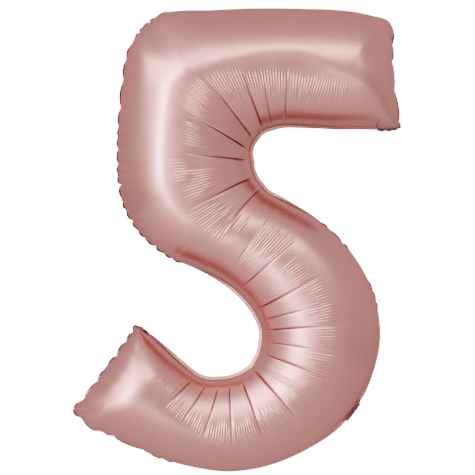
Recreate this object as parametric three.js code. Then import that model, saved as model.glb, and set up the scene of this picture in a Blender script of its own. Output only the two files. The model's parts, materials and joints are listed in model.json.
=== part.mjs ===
// Foil balloon in the shape of the figure five, filled and held up by its top seam.
//
// Two sheets of metallised film are cut to the same outline and welded together round a flat margin.
// Gas swells them into one bent tube with flat, pillow-like ends. A filling neck of the same film leaves
// the margin at the lower right of the bowl and folds back behind the figure. Two plies of thin clear
// film run from the neck through a gap in the weld into the balloon: gas inside presses them shut.
//
// Millimetres, +Z up, front towards -Y. The origin is on the outer edge of the top seam, between the two
// sheets, where a thread or hook holds the balloon up.
import * as THREE from "three";

// Driving dimensions. Film walls are thicker than the real 0.04 mm film, so that they are solids.
const FLANGE = 6; // width of the flat margin outside the swollen tube
const WALL = 0.8; // wall of each foil sheet
const SHEET_GAP = 1.3; // between the two sheets at the margin
const WELD = 1.1; // thickness of the weld that joins them
const WELD_INSET = 0.3; // the weld stops this far short of the tube
const DEPTH_SHARE = 0.79; // swollen half depth over the radius of the widest circle in the outline
const MOST_DEPTH = 94; // half depth that the film can reach at the widest bend
const END_ROUND = 80; // distance over which a closed end of the tube rises to its full depth
const ARC_STEPS = 8; // facets across one sheet
const ROWS_PER_STATION = 2;
const END_ROWS = [0, 0.25, 0.33, 0.48, 0.7, 1, 1.5]; // rows near a closed end, in stations from that end
const MARGIN_ROW = 0.25; // the row where the margin of a closed end meets the tube

const NECK = {
  station: 23.75, // where it leaves side b
  width: 40,
  length: 72,
  weldWidth: 5, // weld along each side of the neck
  hinge: 2.5, // fold line, outside the margin's edge
  root: 2, // the neck's own film starts this far from the fold line
  mouthRadius: 5,
};
const VALVE = {
  width: 29,
  film: 0.25,
  offset: 0.1, // from the middle plane to each film's inner face
  inNeck: 50, // length from the fold line along the neck
  inside: 112, // length from the margin's edge into the balloon
  seal: 0.2, // weld between each valve film and the sheet beside it
  sealOffset: 0.4,
};

const FILM_COLOUR = 0xc9958f;
const WELD_COLOUR = 0xb88a86;
const VALVE_COLOUR = 0xe6e9ea;

// The figure as pairs of points on its two edges. Each pair is one rib across the tube: ribs are parallel
// where the tube runs straight, and fan out from the inside of each bend. The first pair is the free end
// of the top bar, and the last is the free end of the tail.
const STATIONS = [
  { a: [283, -47], b: [296, -221] },
  { a: [272, -23], b: [272, -226] },
  { a: [246, -14], b: [233, -224] },
  { a: [208, -6], b: [182, -224] },
  { a: [163, -2], b: [136, -222] },
  { a: [123, -1], b: [106, -221] },
  { a: [82, 0], b: [82, -221] },
  { a: [25, 0], b: [61, -226] },
  // the bend at the top left, round the upper bay
  { a: [-47, -3], b: [43, -233] },
  { a: [-141, -10], b: [31, -248] },
  { a: [-197, -60], b: [26, -257] },
  { a: [-217, -137], b: [24, -267] },
  { a: [-226, -272], b: [26, -281] },
  { a: [-217, -355], b: [28, -296] },
  { a: [-185, -414], b: [33, -310] },
  // the diagonal
  { a: [-134, -457], b: [42, -322] },
  { a: [-82, -481], b: [56, -337] },
  { a: [-38, -505], b: [88, -355] },
  { a: [-5, -531], b: [145, -391] },
  { a: [18, -558], b: [204, -449] },
  // the bowl, round the lower bay
  { a: [31, -583], b: [243, -516] },
  { a: [35, -599], b: [258, -579] },
  { a: [34, -616], b: [256, -636] },
  { a: [30, -635], b: [235, -702] },
  { a: [24, -647], b: [198, -759] },
  { a: [16, -659], b: [147, -802] },
  { a: [-4, -672], b: [66, -841] },
  { a: [-21, -678], b: [-14, -856] },
  { a: [-39, -680], b: [-86, -848] },
  { a: [-58, -680], b: [-149, -830] },
  // the tail
  { a: [-78, -673], b: [-213, -802] },
  { a: [-106, -651], b: [-250, -785] },
  { a: [-134, -627], b: [-272, -778] },
  { a: [-161, -605], b: [-291, -761] },
  { a: [-191, -588], b: [-304, -741] },
];
const LAST = STATIONS.length - 1;

const planePoint = ([x, z]) => new THREE.Vector3(x, 0, z);
const edgeCurve = (side) =>
  new THREE.CatmullRomCurve3(
    STATIONS.map((station) => planePoint(station[side])),
    false,
    "catmullrom",
    0.5,
  );
const EDGES = { a: edgeCurve("a"), b: edgeCurve("b") };
const EDGE_SAMPLES = ["a", "b"].flatMap((side) => EDGES[side].getPoints(LAST * 6));

// A point on one edge, at a station number that may be fractional.
const edgePoint = (side, station) => EDGES[side].getPoint(station / LAST);

// The direction along one edge, towards higher stations.
const edgeDirection = (side, station) => EDGES[side].getTangent(station / LAST).normalize();

// The direction in the seam plane from one edge into the tube, square to the edge.
function inwards(side, station) {
  const along = edgeDirection(side, station);
  const square = new THREE.Vector3(-along.z, 0, along.x);
  return side === "a" ? square : square.negate();
}

// A point on the inner edge of the margin. At a closed end it lies along the end edge instead.
function marginPoint(side, station) {
  const edge = edgePoint(side, station);
  if (station > 0 && station < LAST) return edge.addScaledVector(inwards(side, station), FLANGE);
  const across = edgePoint(side === "a" ? "b" : "a", station).sub(edge).normalize();
  return edge.addScaledVector(across, FLANGE);
}

const middle = (station) => edgePoint("a", station).lerp(edgePoint("b", station), 0.5);

// The swollen half depth at each station: a share of the distance from the rib's middle to the outline.
const RISES = STATIONS.map((_, station) => {
  const centre = middle(station);
  const reach = Math.min(...EDGE_SAMPLES.map((point) => point.distanceTo(centre)));
  return new THREE.Vector3(Math.min(DEPTH_SHARE * reach, MOST_DEPTH), 0, 0);
});
// Near a closed end the outline's own corners limit that distance, so the tube's depth carries on instead.
const END_HOLD = 3;
for (let station = 0; station < END_HOLD; station += 1) {
  RISES[station].copy(RISES[END_HOLD]);
  RISES[LAST - station].copy(RISES[LAST - END_HOLD]);
}
const RISE_CURVE = new THREE.CatmullRomCurve3(RISES, false, "catmullrom", 0.5);

// How far a closed end has risen, from 0 at its margin to 1, as a quarter of an ellipse.
function endShare(distance) {
  const left = 1 - THREE.MathUtils.clamp(distance / END_ROUND, 0, 1);
  return Math.sqrt(1 - left * left);
}

function endDistance(station) {
  const here = middle(station);
  return Math.min(
    here.distanceTo(middle(MARGIN_ROW)) * Math.sign(station - MARGIN_ROW),
    here.distanceTo(middle(LAST - MARGIN_ROW)) * Math.sign(LAST - MARGIN_ROW - station),
  );
}

// Row positions along the tube, in stations: close together at the ends, even between them.
const firstEven = Math.ceil(END_ROWS.at(-1) + 1 / ROWS_PER_STATION);
const evenRows = [];
for (let i = firstEven * ROWS_PER_STATION; i <= (LAST - firstEven) * ROWS_PER_STATION; i += 1) {
  evenRows.push(i / ROWS_PER_STATION);
}
const ROWS = [...END_ROWS, ...evenRows, ...END_ROWS.map((row) => LAST - row).reverse()];

// Builds one closed body from rings of points with the same count, in order along the body. Each ring runs
// out along one face and back along the other, so the two end faces are strips between the halves.
function loft(rings) {
  const count = rings[0].length;
  const points = rings.flat();
  const faces = [];
  for (let ring = 0; ring + 1 < rings.length; ring += 1) {
    for (let i = 0; i < count; i += 1) {
      const next = (i + 1) % count;
      const corners = [ring * count + i, ring * count + next, (ring + 1) * count + next, (ring + 1) * count + i];
      faces.push([corners[0], corners[1], corners[2]], [corners[0], corners[2], corners[3]]);
    }
  }
  const lastRing = (rings.length - 1) * count;
  for (let i = 0; i + 1 < count / 2; i += 1) {
    const opposite = count - 1 - i;
    faces.push([i, opposite, opposite - 1], [i, opposite - 1, i + 1]);
    faces.push([lastRing + i, lastRing + i + 1, lastRing + opposite - 1]);
    faces.push([lastRing + i, lastRing + opposite - 1, lastRing + opposite]);
  }
  return solidGeometry(points, faces);
}

// A geometry from points and faces, without faces that have no area and with its faces pointing out.
function solidGeometry(points, faces) {
  const apart = (i, j) => points[i].distanceToSquared(points[j]) > 1e-6;
  const kept = faces.filter(([i, j, k]) => apart(i, j) && apart(j, k) && apart(k, i));
  const volume = kept.reduce(
    (sum, [i, j, k]) => sum + points[i].dot(points[j].clone().cross(points[k])),
    0,
  );
  const outwards = volume > 0 ? kept : kept.map(([i, j, k]) => [i, k, j]);
  const geometry = new THREE.BufferGeometry().setFromPoints(points);
  geometry.setIndex(outwards.flat());
  geometry.computeVertexNormals();
  return geometry;
}

// One foil sheet: its margin, and half of the swollen tube. side is -1 for the front and 1 for the back.
function sheet(side) {
  const inner = SHEET_GAP / 2;
  const outer = inner + WALL;
  const lift = (point, depth) => point.clone().setY(side * depth);
  const rings = ROWS.map((station) => {
    const edges = [edgePoint("a", station), edgePoint("b", station)];
    const base = marginPoint("a", station);
    const span = marginPoint("b", station).sub(base);
    const width = span.length();
    const across = span.normalize();
    const rise = RISE_CURVE.getPoint(station / LAST).x;
    const distance = endDistance(station);
    const outerArc = [];
    const innerArc = [];
    for (let i = 0; i <= ARC_STEPS; i += 1) {
      const angle = (Math.PI * i) / ARC_STEPS;
      const share = (1 - Math.cos(angle)) / 2;
      const height = rise * Math.sin(angle);
      const outerPlace = base.clone().addScaledVector(across, width * share);
      const innerPlace = base.clone().addScaledVector(across, WALL + (width - 2 * WALL) * share);
      outerArc.push(lift(outerPlace, outer + height * endShare(distance)));
      innerArc.push(lift(innerPlace, inner + height * endShare(distance - WALL)));
    }
    return [
      lift(edges[0], outer),
      ...outerArc,
      lift(edges[1], outer),
      lift(edges[1], inner),
      ...innerArc.reverse(),
      lift(edges[0], inner),
    ];
  });
  return loft(rings);
}

// The weld between the two margins: one strip round the outline, open where the neck leaves it.
function seamWeld() {
  const gap = NECK.width / 2 - NECK.weldWidth + 1;
  const perStation = edgePoint("b", NECK.station + 0.5).distanceTo(edgePoint("b", NECK.station - 0.5));
  const gapStations = gap / perStation;
  const past = NECK.station + gapStations;
  const before = NECK.station - gapStations;
  const tubeRows = ROWS.filter((row) => row >= MARGIN_ROW && row <= LAST - MARGIN_ROW);
  const route = [
    ["b", past],
    ...tubeRows.filter((row) => row > past).map((row) => ["b", row]),
    ["b", LAST],
    ["a", LAST],
    ...tubeRows.map((row) => ["a", row]).reverse(),
    ["a", 0],
    ["b", 0],
    ...tubeRows.filter((row) => row < before).map((row) => ["b", row]),
    ["b", before],
  ];
  const rings = route.map(([side, station]) => {
    const edge = edgePoint(side, station);
    const innerStation = THREE.MathUtils.clamp(station, MARGIN_ROW, LAST - MARGIN_ROW);
    const inner = marginPoint(side, innerStation);
    inner.lerp(edge, WELD_INSET / FLANGE);
    return [
      edge.clone().setY(-WELD / 2),
      inner.clone().setY(-WELD / 2),
      inner.clone().setY(WELD / 2),
      edge.clone().setY(WELD / 2),
    ];
  });
  return loft(rings);
}

// A flat strip in the neck's own frame: x along the fold line, y along the neck, z through its thickness.
function strip(width, from, to, low, high) {
  const geometry = new THREE.BoxGeometry(width, to - from, high - low);
  return geometry.translate(0, (from + to) / 2, (low + high) / 2);
}

// One foil ply of the neck, with rounded corners at its mouth.
function neckPly(low) {
  const half = NECK.width / 2;
  const radius = NECK.mouthRadius;
  const outline = new THREE.Shape();
  outline.moveTo(-half, NECK.root);
  outline.lineTo(half, NECK.root);
  outline.lineTo(half, NECK.length - radius);
  outline.absarc(half - radius, NECK.length - radius, radius, 0, Math.PI / 2);
  outline.lineTo(radius - half, NECK.length);
  outline.absarc(radius - half, NECK.length - radius, radius, Math.PI / 2, Math.PI);
  outline.closePath();
  const ply = new THREE.ExtrudeGeometry(outline, { depth: WALL, bevelEnabled: false, curveSegments: 5 });
  return ply.translate(0, 0, low);
}

const film = new THREE.MeshStandardMaterial({ color: FILM_COLOUR, metalness: 1, roughness: 0.35 });
const weld = new THREE.MeshStandardMaterial({ color: WELD_COLOUR, metalness: 0.6, roughness: 0.4 });
const clear = new THREE.MeshStandardMaterial({ color: VALVE_COLOUR, metalness: 0, roughness: 0.25 });

function piece(name, geometry, material) {
  const mesh = new THREE.Mesh(geometry, material);
  mesh.name = name;
  return mesh;
}

// The two valve films and their seals, as far as they lie inside the balloon. Their frame has y pointing
// from the fold line straight out of the balloon, and z towards the front.
function valveInside() {
  const group = new THREE.Group();
  const start = -NECK.hinge - VALVE.inside;
  const end = -NECK.hinge;
  const near = VALVE.offset;
  const far = near + VALVE.film;
  const sealEnd = VALVE.sealOffset + VALVE.seal;
  const sealStart = end - FLANGE;
  group.add(
    piece("valve_front_film", strip(VALVE.width, start, end, near, far), clear),
    piece("valve_back_film", strip(VALVE.width, start, end, -far, -near), clear),
    piece("valve_front_seal", strip(VALVE.width, sealStart, end, VALVE.sealOffset, sealEnd), weld),
    piece("valve_back_seal", strip(VALVE.width, sealStart, end, -sealEnd, -VALVE.sealOffset), weld),
  );
  return group;
}

// The neck, in the same frame when it stands straight out.
function neck() {
  const group = new THREE.Group();
  const inner = SHEET_GAP / 2;
  const near = VALVE.offset;
  const far = near + VALVE.film;
  const weldEnd = NECK.length - NECK.mouthRadius;
  const weldMiddle = (NECK.width - NECK.weldWidth) / 2;
  const sideWeld = () => strip(NECK.weldWidth, NECK.root, weldEnd, -WELD / 2, WELD / 2);
  group.add(
    piece("neck_front_ply", neckPly(inner), film),
    piece("neck_back_ply", neckPly(-inner - WALL), film),
    piece("neck_upper_weld", sideWeld().translate(-weldMiddle, 0, 0), weld),
    piece("neck_lower_weld", sideWeld().translate(weldMiddle, 0, 0), weld),
    piece("neck_valve_front_film", strip(VALVE.width, NECK.root, VALVE.inNeck, near, far), clear),
    piece("neck_valve_back_film", strip(VALVE.width, NECK.root, VALVE.inNeck, -far, -near), clear),
  );
  return group;
}

// Places a group with its y along one direction and its x along the fold line.
function place(group, foldLine, along) {
  const normal = foldLine.clone().cross(along);
  group.setRotationFromMatrix(new THREE.Matrix4().makeBasis(foldLine, along, normal));
  group.position.copy(hingePoint);
  return group;
}

const outwardsAtNeck = inwards("b", NECK.station).negate();
const foldLine = edgeDirection("b", NECK.station);
const hingePoint = edgePoint("b", NECK.station).addScaledVector(outwardsAtNeck, NECK.hinge);
const backwards = new THREE.Vector3(0, 1, 0);

const balloon = new THREE.Group();
balloon.add(
  piece("front_foil_panel", sheet(-1), film),
  piece("back_foil_panel", sheet(1), film),
  piece("seam_weld", seamWeld(), weld),
  place(valveInside(), foldLine, outwardsAtNeck),
  place(neck(), foldLine, backwards), // folded back behind the figure
);

export default balloon;
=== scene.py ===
"""A foil balloon in the shape of the figure five, filled with gas and hung by its top seam.

Two sheets of satin rose-gold film are welded together round a flat margin. Gas swells them into a bent
tube: on the inside of each bend the film gathers into sharp creases, with patches of fine ribs where
they run out, and on the outside it draws the margin into scallops. A filling neck folds back behind the
lower right of the bowl, and two plies of clear film run through it as a flat valve.

Every surface is worked out on a grid of two parameters: the station, a place along the tube, and the
share, a place across it from edge A to edge B. Metres, +Z up, front towards -Y.
"""

import json
import logging
import math
from dataclasses import dataclass, field
from enum import Enum

import bpy
import numpy as np
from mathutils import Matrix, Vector


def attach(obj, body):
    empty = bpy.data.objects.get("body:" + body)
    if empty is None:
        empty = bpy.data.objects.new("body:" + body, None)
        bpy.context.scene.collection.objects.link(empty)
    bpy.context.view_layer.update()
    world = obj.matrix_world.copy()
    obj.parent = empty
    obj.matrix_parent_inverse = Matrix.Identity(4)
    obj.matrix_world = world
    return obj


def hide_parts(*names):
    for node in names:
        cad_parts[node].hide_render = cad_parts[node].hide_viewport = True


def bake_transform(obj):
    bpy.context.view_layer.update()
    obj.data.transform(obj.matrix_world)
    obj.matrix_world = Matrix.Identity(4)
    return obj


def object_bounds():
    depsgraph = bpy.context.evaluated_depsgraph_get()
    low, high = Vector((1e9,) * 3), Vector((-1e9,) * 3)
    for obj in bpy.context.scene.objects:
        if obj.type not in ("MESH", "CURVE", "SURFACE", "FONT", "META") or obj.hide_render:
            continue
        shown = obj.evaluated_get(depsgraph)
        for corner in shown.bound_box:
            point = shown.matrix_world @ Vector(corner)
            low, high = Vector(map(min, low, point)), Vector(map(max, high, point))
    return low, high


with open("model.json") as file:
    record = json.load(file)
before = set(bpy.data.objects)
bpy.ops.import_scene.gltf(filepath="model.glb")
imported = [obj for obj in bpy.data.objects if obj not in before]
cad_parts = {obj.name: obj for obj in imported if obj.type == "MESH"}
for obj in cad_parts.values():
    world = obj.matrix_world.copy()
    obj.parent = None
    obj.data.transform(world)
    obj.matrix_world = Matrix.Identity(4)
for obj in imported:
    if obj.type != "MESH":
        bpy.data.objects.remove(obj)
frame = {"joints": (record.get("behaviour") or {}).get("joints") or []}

CAD_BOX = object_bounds()
NECK_FOLD = frame["joints"][0]
MM = 0.001
BACKWARDS = np.array([0.0, 1.0, 0.0])
# Point attribute that carries painted shade on the foil sheets.
PAINTED_SHADE = "painted_shade"
MARGIN_COLUMNS = 2

log = logging.getLogger("balloon")


class Side(Enum):
    """Which of the two sheets: the value is the sign of its outward y."""

    FRONT = -1
    BACK = 1


class Edge(Enum):
    """One of the tube's two long edges: the value is the sign that turns its direction inwards."""

    A = 1
    B = -1


class Slot(Enum):
    """The record's material slots."""

    FILM = "foil_film"
    WELD = "film_weld"
    CLEAR = "valve_film"


# Shapes and noise on grids


def spline(points: np.ndarray, place: np.ndarray) -> np.ndarray:
    """Uniform Catmull-Rom curve through points, with mirrored points past its two ends.

    Args:
        points: The points to pass through, one to a row.
        place: Where to read the curve, counted in points from 0.

    Returns:
        The curve's points, one row for each place.
    """
    last = len(points) - 1
    padded = np.vstack([2 * points[0] - points[1], points, 2 * points[-1] - points[-2]])
    place = np.clip(np.asarray(place, float), 0, last)
    index = np.minimum(place.astype(int), last - 1)
    x = (place - index)[..., None]
    p0, p1, p2, p3 = (padded[index + i] for i in range(4))
    cubic = -p0 + 3 * p1 - 3 * p2 + p3
    return 0.5 * (2 * p1 + (p2 - p0) * x + (2 * p0 - 5 * p1 + 4 * p2 - p3) * x**2 + cubic * x**3)


def ease(x: np.ndarray) -> np.ndarray:
    """A smooth step: 0 below 0, 1 above 1, and 3x² - 2x³ between."""
    x = np.clip(x, 0, 1)
    return x * x * (3 - 2 * x)


def unit(vectors: np.ndarray) -> np.ndarray:
    """The vectors along the last axis at length 1."""
    return vectors / np.maximum(np.linalg.norm(vectors, axis=-1, keepdims=True), 1e-12)


def run_length(points: np.ndarray, axis: int = 0) -> np.ndarray:
    """Length along one axis of a grid of points: the running sum of the distances between neighbours.

    Args:
        points: Points, with their coordinates along the last axis.
        axis: The axis to walk along.

    Returns:
        Length from the first point to each.
    """
    steps = np.linalg.norm(np.diff(points, axis=axis), axis=-1)
    start = np.zeros_like(np.take(steps, [0], axis=axis))
    return np.concatenate([start, np.cumsum(steps, axis=axis)], axis=axis)


def lobes(place: np.ndarray, cusps: tuple[float, ...]) -> np.ndarray:
    """Round lobes between cusps: 0 at each cusp, 1 halfway to the next, and 0 past the first and last.

    Args:
        place: Where to read the lobes, in the cusps' own measure.
        cusps: The cusps' places, rising.

    Returns:
        The square root of 4f(1 - f), with f the share of the way from one cusp to the next.
    """
    count = np.interp(place, cusps, np.arange(len(cusps)))
    part = count - np.floor(count)
    return np.sqrt(4 * part * (1 - part))


def ripple(u: np.ndarray, v: np.ndarray, seed: int, waves: int = 7) -> np.ndarray:
    """Smooth noise of a few sine waves in random directions, within about -1 to 1.

    Args:
        u: First coordinate, in units of the noise's own scale.
        v: Second coordinate, in the same units.
        seed: Seed of the directions and phases.
        waves: How many sine waves to add.

    Returns:
        The noise at each point.
    """
    rng = np.random.default_rng(seed)
    turn = rng.uniform(0, 2 * math.pi, waves)
    rate = rng.uniform(0.6, 1.7, waves)
    phase = rng.uniform(0, 2 * math.pi, waves)
    total = sum(
        np.sin(rate[i] * (u * math.cos(turn[i]) + v * math.sin(turn[i])) + phase[i]) for i in range(waves)
    )
    return total / math.sqrt(2 * waves)


# Meshes


def grid_faces(rows: int, columns: int, first: int = 0, flip: bool = False) -> np.ndarray:
    """Quads of a grid whose vertices run row by row from number first.

    Args:
        rows: Rows of vertices.
        columns: Vertices in a row.
        first: Number of the first vertex.
        flip: Whether to turn the faces over.

    Returns:
        Four vertex numbers to a row.
    """
    corner = first + (np.arange(rows - 1)[:, None] * columns + np.arange(columns - 1)[None, :])
    quads = np.stack([corner, corner + 1, corner + columns + 1, corner + columns], axis=-1).reshape(-1, 4)
    return quads[:, ::-1] if flip else quads


def mesh_object(name: str, points: np.ndarray, faces: list[np.ndarray]) -> bpy.types.Object:
    """A smooth mesh object at the origin, made from arrays.

    Args:
        name: The object's name.
        points: Vertex places, in metres.
        faces: Arrays of vertex numbers, one face to a row; each array has its own number of corners.

    Returns:
        The new object, linked to the scene.
    """
    corners = np.concatenate([block.ravel() for block in faces])
    sizes = np.concatenate([np.full(len(block), block.shape[1]) for block in faces])
    mesh = bpy.data.meshes.new(name)
    mesh.vertices.add(len(points))
    mesh.vertices.foreach_set("co", points.astype(np.float32).ravel())
    mesh.loops.add(len(corners))
    mesh.loops.foreach_set("vertex_index", corners.astype(np.int32))
    mesh.polygons.add(len(sizes))
    mesh.polygons.foreach_set("loop_start", (np.cumsum(sizes) - sizes).astype(np.int32))
    mesh.polygons.foreach_set("use_smooth", np.ones(len(sizes), bool))
    mesh.update(calc_edges=True)
    mesh.validate()
    piece = bpy.data.objects.new(name, mesh)
    bpy.context.scene.collection.objects.link(piece)
    return piece


def closed_sheet(
    name: str, outer: np.ndarray, inner: np.ndarray, row_step: int, column_step: int
) -> bpy.types.Object:
    """A closed sheet: a fine outer face, a coarser inner face, and a rim that joins their edges.

    Args:
        name: The object's name.
        outer: Outer points, rows by columns by 3.
        inner: Inner points: every row_step-th row and column_step-th column of the outer grid.
        row_step: Outer rows to one inner row.
        column_step: Outer columns to one inner column.

    Returns:
        The new object, its faces pointing out of the film.
    """
    rows, columns = outer.shape[:2]
    inner_rows, inner_columns = inner.shape[:2]
    first = rows * columns
    outer_id = np.arange(first).reshape(rows, columns)
    inner_id = first + np.arange(inner_rows * inner_columns).reshape(inner_rows, inner_columns)
    faces = [grid_faces(rows, columns), grid_faces(inner_rows, inner_columns, first, flip=True)]
    rims = (
        (outer_id[:, 0], inner_id[:, 0], row_step, False),
        (outer_id[:, -1], inner_id[:, -1], row_step, True),
        (outer_id[0], inner_id[0], column_step, True),
        (outer_id[-1], inner_id[-1], column_step, False),
    )
    for fine, coarse, step, flip in rims:
        start = np.arange(len(coarse) - 1) * step
        arcs = fine[start[:, None] + np.arange(step + 1)[None, :]]
        rim = np.hstack([arcs, coarse[1:, None], coarse[:-1, None]])
        faces.append(rim[:, ::-1] if flip else rim)
    points = np.vstack([outer.reshape(-1, 3), inner.reshape(-1, 3)])
    return outward(mesh_object(name, points, faces))


def tube_object(name: str, rings: np.ndarray) -> bpy.types.Object:
    """A closed solid through rings of points, with flat ends.

    Args:
        name: The object's name.
        rings: Points, rings by points of a ring by 3.

    Returns:
        The new object, its faces pointing out.
    """
    count, around = rings.shape[:2]
    index = np.arange(count * around).reshape(count, around)
    index = np.concatenate([index, index[:, :1]], axis=1)
    corner = np.stack([index[:-1, :-1], index[:-1, 1:], index[1:, 1:], index[1:, :-1]], axis=-1)
    faces = [corner.reshape(-1, 4), index[:1, :-1][:, ::-1], index[-1:, :-1]]
    return outward(mesh_object(name, rings.reshape(-1, 3), faces))


def outward(piece: bpy.types.Object) -> bpy.types.Object:
    """Turns a closed piece's faces to point out of it, where its signed volume says they point in.

    Args:
        piece: A mesh object with one closed surface.

    Returns:
        The same object.
    """
    mesh = piece.data
    mesh.calc_loop_triangles()
    points = np.zeros(len(mesh.vertices) * 3, np.float32)
    mesh.vertices.foreach_get("co", points)
    corners = np.zeros(len(mesh.loop_triangles) * 3, np.int32)
    mesh.loop_triangles.foreach_get("vertices", corners)
    a, b, c = np.moveaxis(points.astype(float).reshape(-1, 3)[corners.reshape(-1, 3)], 1, 0)
    if np.einsum("ij,ij->", a, np.cross(b, c)) < 0:
        mesh.flip_normals()
    return piece


# The figure


@dataclass(frozen=True)
class Outline:
    """The figure's flat outline: pairs of points on its two edges, each pair one rib across the tube.

    The first pair is the free end of the top bar and the last is the free end of the tail. Each entry is
    x and z on edge A, then x and z on edge B, in millimetres from the hanging point.
    """

    ribs: tuple[tuple[float, float, float, float], ...] = (
        (283, -47, 296, -221),
        (272, -23, 272, -226),
        (246, -14, 233, -224),
        (208, -6, 182, -224),
        (163, -2, 136, -222),
        (123, -1, 106, -221),
        (82, 0, 82, -221),
        (25, 0, 61, -226),
        (-47, -3, 43, -233),
        (-141, -10, 31, -248),
        (-197, -60, 26, -257),
        (-217, -137, 24, -267),
        (-226, -272, 26, -281),
        (-217, -355, 28, -296),
        (-185, -414, 33, -310),
        (-134, -457, 42, -322),
        (-82, -481, 56, -337),
        (-38, -505, 88, -355),
        (-5, -531, 145, -391),
        (18, -558, 204, -449),
        (31, -583, 243, -516),
        (35, -599, 258, -579),
        (34, -616, 256, -636),
        (30, -635, 235, -702),
        (24, -647, 198, -759),
        (16, -659, 147, -802),
        (-4, -672, 66, -841),
        (-21, -678, -14, -856),
        (-39, -680, -86, -848),
        (-58, -680, -149, -830),
        (-78, -673, -213, -802),
        (-106, -651, -250, -785),
        (-134, -627, -272, -778),
        (-161, -605, -291, -761),
        (-191, -588, -304, -741),
    )

    @property
    def last(self) -> int:
        """The station of the tail's free end."""
        return len(self.ribs) - 1

    def edge(self, edge: Edge, station: np.ndarray) -> np.ndarray:
        """Points of one edge in the seam plane.

        Args:
            edge: Which edge.
            station: Stations to read.

        Returns:
            x and z in metres, one row to a station.
        """
        columns = slice(0, 2) if edge is Edge.A else slice(2, 4)
        return spline(np.array(self.ribs, float)[:, columns] * MM, station)

    def middle(self, station: np.ndarray) -> np.ndarray:
        """Points of the tube's middle line, halfway between its edges: x and z to a row."""
        return (self.edge(Edge.A, station) + self.edge(Edge.B, station)) / 2

    def inwards(self, edge: Edge, station: np.ndarray) -> np.ndarray:
        """Directions in the seam plane from one edge into the tube, square to the edge.

        Args:
            edge: Which edge.
            station: Stations to read.

        Returns:
            Unit x and z, one row to a station.
        """
        step = 0.01
        along = unit(self.edge(edge, station + step) - self.edge(edge, station - step))
        return edge.value * np.stack([-along[..., 1], along[..., 0]], axis=-1)

    def fine_stations(self) -> np.ndarray:
        """Stations close enough together to measure lengths by: 50 to each rib."""
        return np.linspace(0, self.last, self.last * 50 + 1)

    def arc(self, edge: Edge, station: np.ndarray) -> np.ndarray:
        """Length of one edge from station 0 to each station, in metres."""
        fine = self.fine_stations()
        return np.interp(station, fine, run_length(self.edge(edge, fine)))

    def middle_length(self, station: np.ndarray) -> np.ndarray:
        """Length of the tube's middle line from station 0 to each station, in metres."""
        fine = self.fine_stations()
        return np.interp(station, fine, run_length(self.middle(fine)))


@dataclass(frozen=True)
class Crease:
    """A sharp fold across the tube, from its deep end at the inside of a bend to where it runs out.

    Each end is a station and a share. The pillow is the depth of the shallow valley that the fold lies in.
    """

    deep: tuple[float, float]
    far: tuple[float, float]
    depth: float
    pillow: float = 0.8 * MM
    lead: float = 0.06
    ramp: float = 0.16
    hold: float = 0.25
    fall: float = 0.8

    @property
    def station(self) -> float:
        """The station halfway along the fold."""
        return (self.deep[0] + self.far[0]) / 2

    def line(self, share: np.ndarray) -> np.ndarray:
        """The fold's course: a straight line between its ends, and level past them.

        Args:
            share: Places across the tube.

        Returns:
            The fold's station at each place.
        """
        slope = (self.far[0] - self.deep[0]) / (self.far[1] - self.deep[1])
        reach = np.clip(share, min(self.deep[1], self.far[1]), max(self.deep[1], self.far[1]))
        return self.deep[0] + slope * (reach - self.deep[1])

    def fade(self, share: np.ndarray) -> np.ndarray:
        """How much of the depth is left at each share.

        Measured in lengths of the fold, it rises smoothly over the ramp, which starts the lead before
        the deep end, and falls smoothly over the fall, from the hold on.

        Args:
            share: Places across the tube.

        Returns:
            Shares from 0 to 1.
        """
        along = (share - self.deep[1]) / (self.far[1] - self.deep[1])
        return ease((along + self.lead) / self.ramp) * (1 - ease((along - self.hold) / self.fall))


@dataclass(frozen=True)
class RibPatch:
    """A patch of fine ribs that run across the tube, side by side along it.

    It lies between two stations, and its ribs reach from one share to another, which change steadily
    from the first station to the last.
    """

    stations: tuple[float, float]
    shares_first: tuple[float, float]
    shares_last: tuple[float, float]
    height: float = 0.9 * MM
    pitch: float = 5.0 * MM


@dataclass(frozen=True)
class Scallops:
    """The lobes into which one side of the margin is drawn, between cusps.

    The cusps are stations along an edge, or shares across a free end. A pinch, a short groove of that
    depth, runs from each cusp into the tube and dies away over the reach.
    """

    cusps: tuple[float, ...]
    height: float
    pinch: float = 1.0 * MM
    reach: float = 8 * MM


@dataclass(frozen=True)
class Ridge:
    """The line where the smooth film ends and the gathered film on the inside of a bend begins.

    Each stop is a station, the ridge's share there, and the depth of the dish inside it in millimetres.
    """

    inner: Edge
    stops: tuple[tuple[float, float, float], ...]


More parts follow.
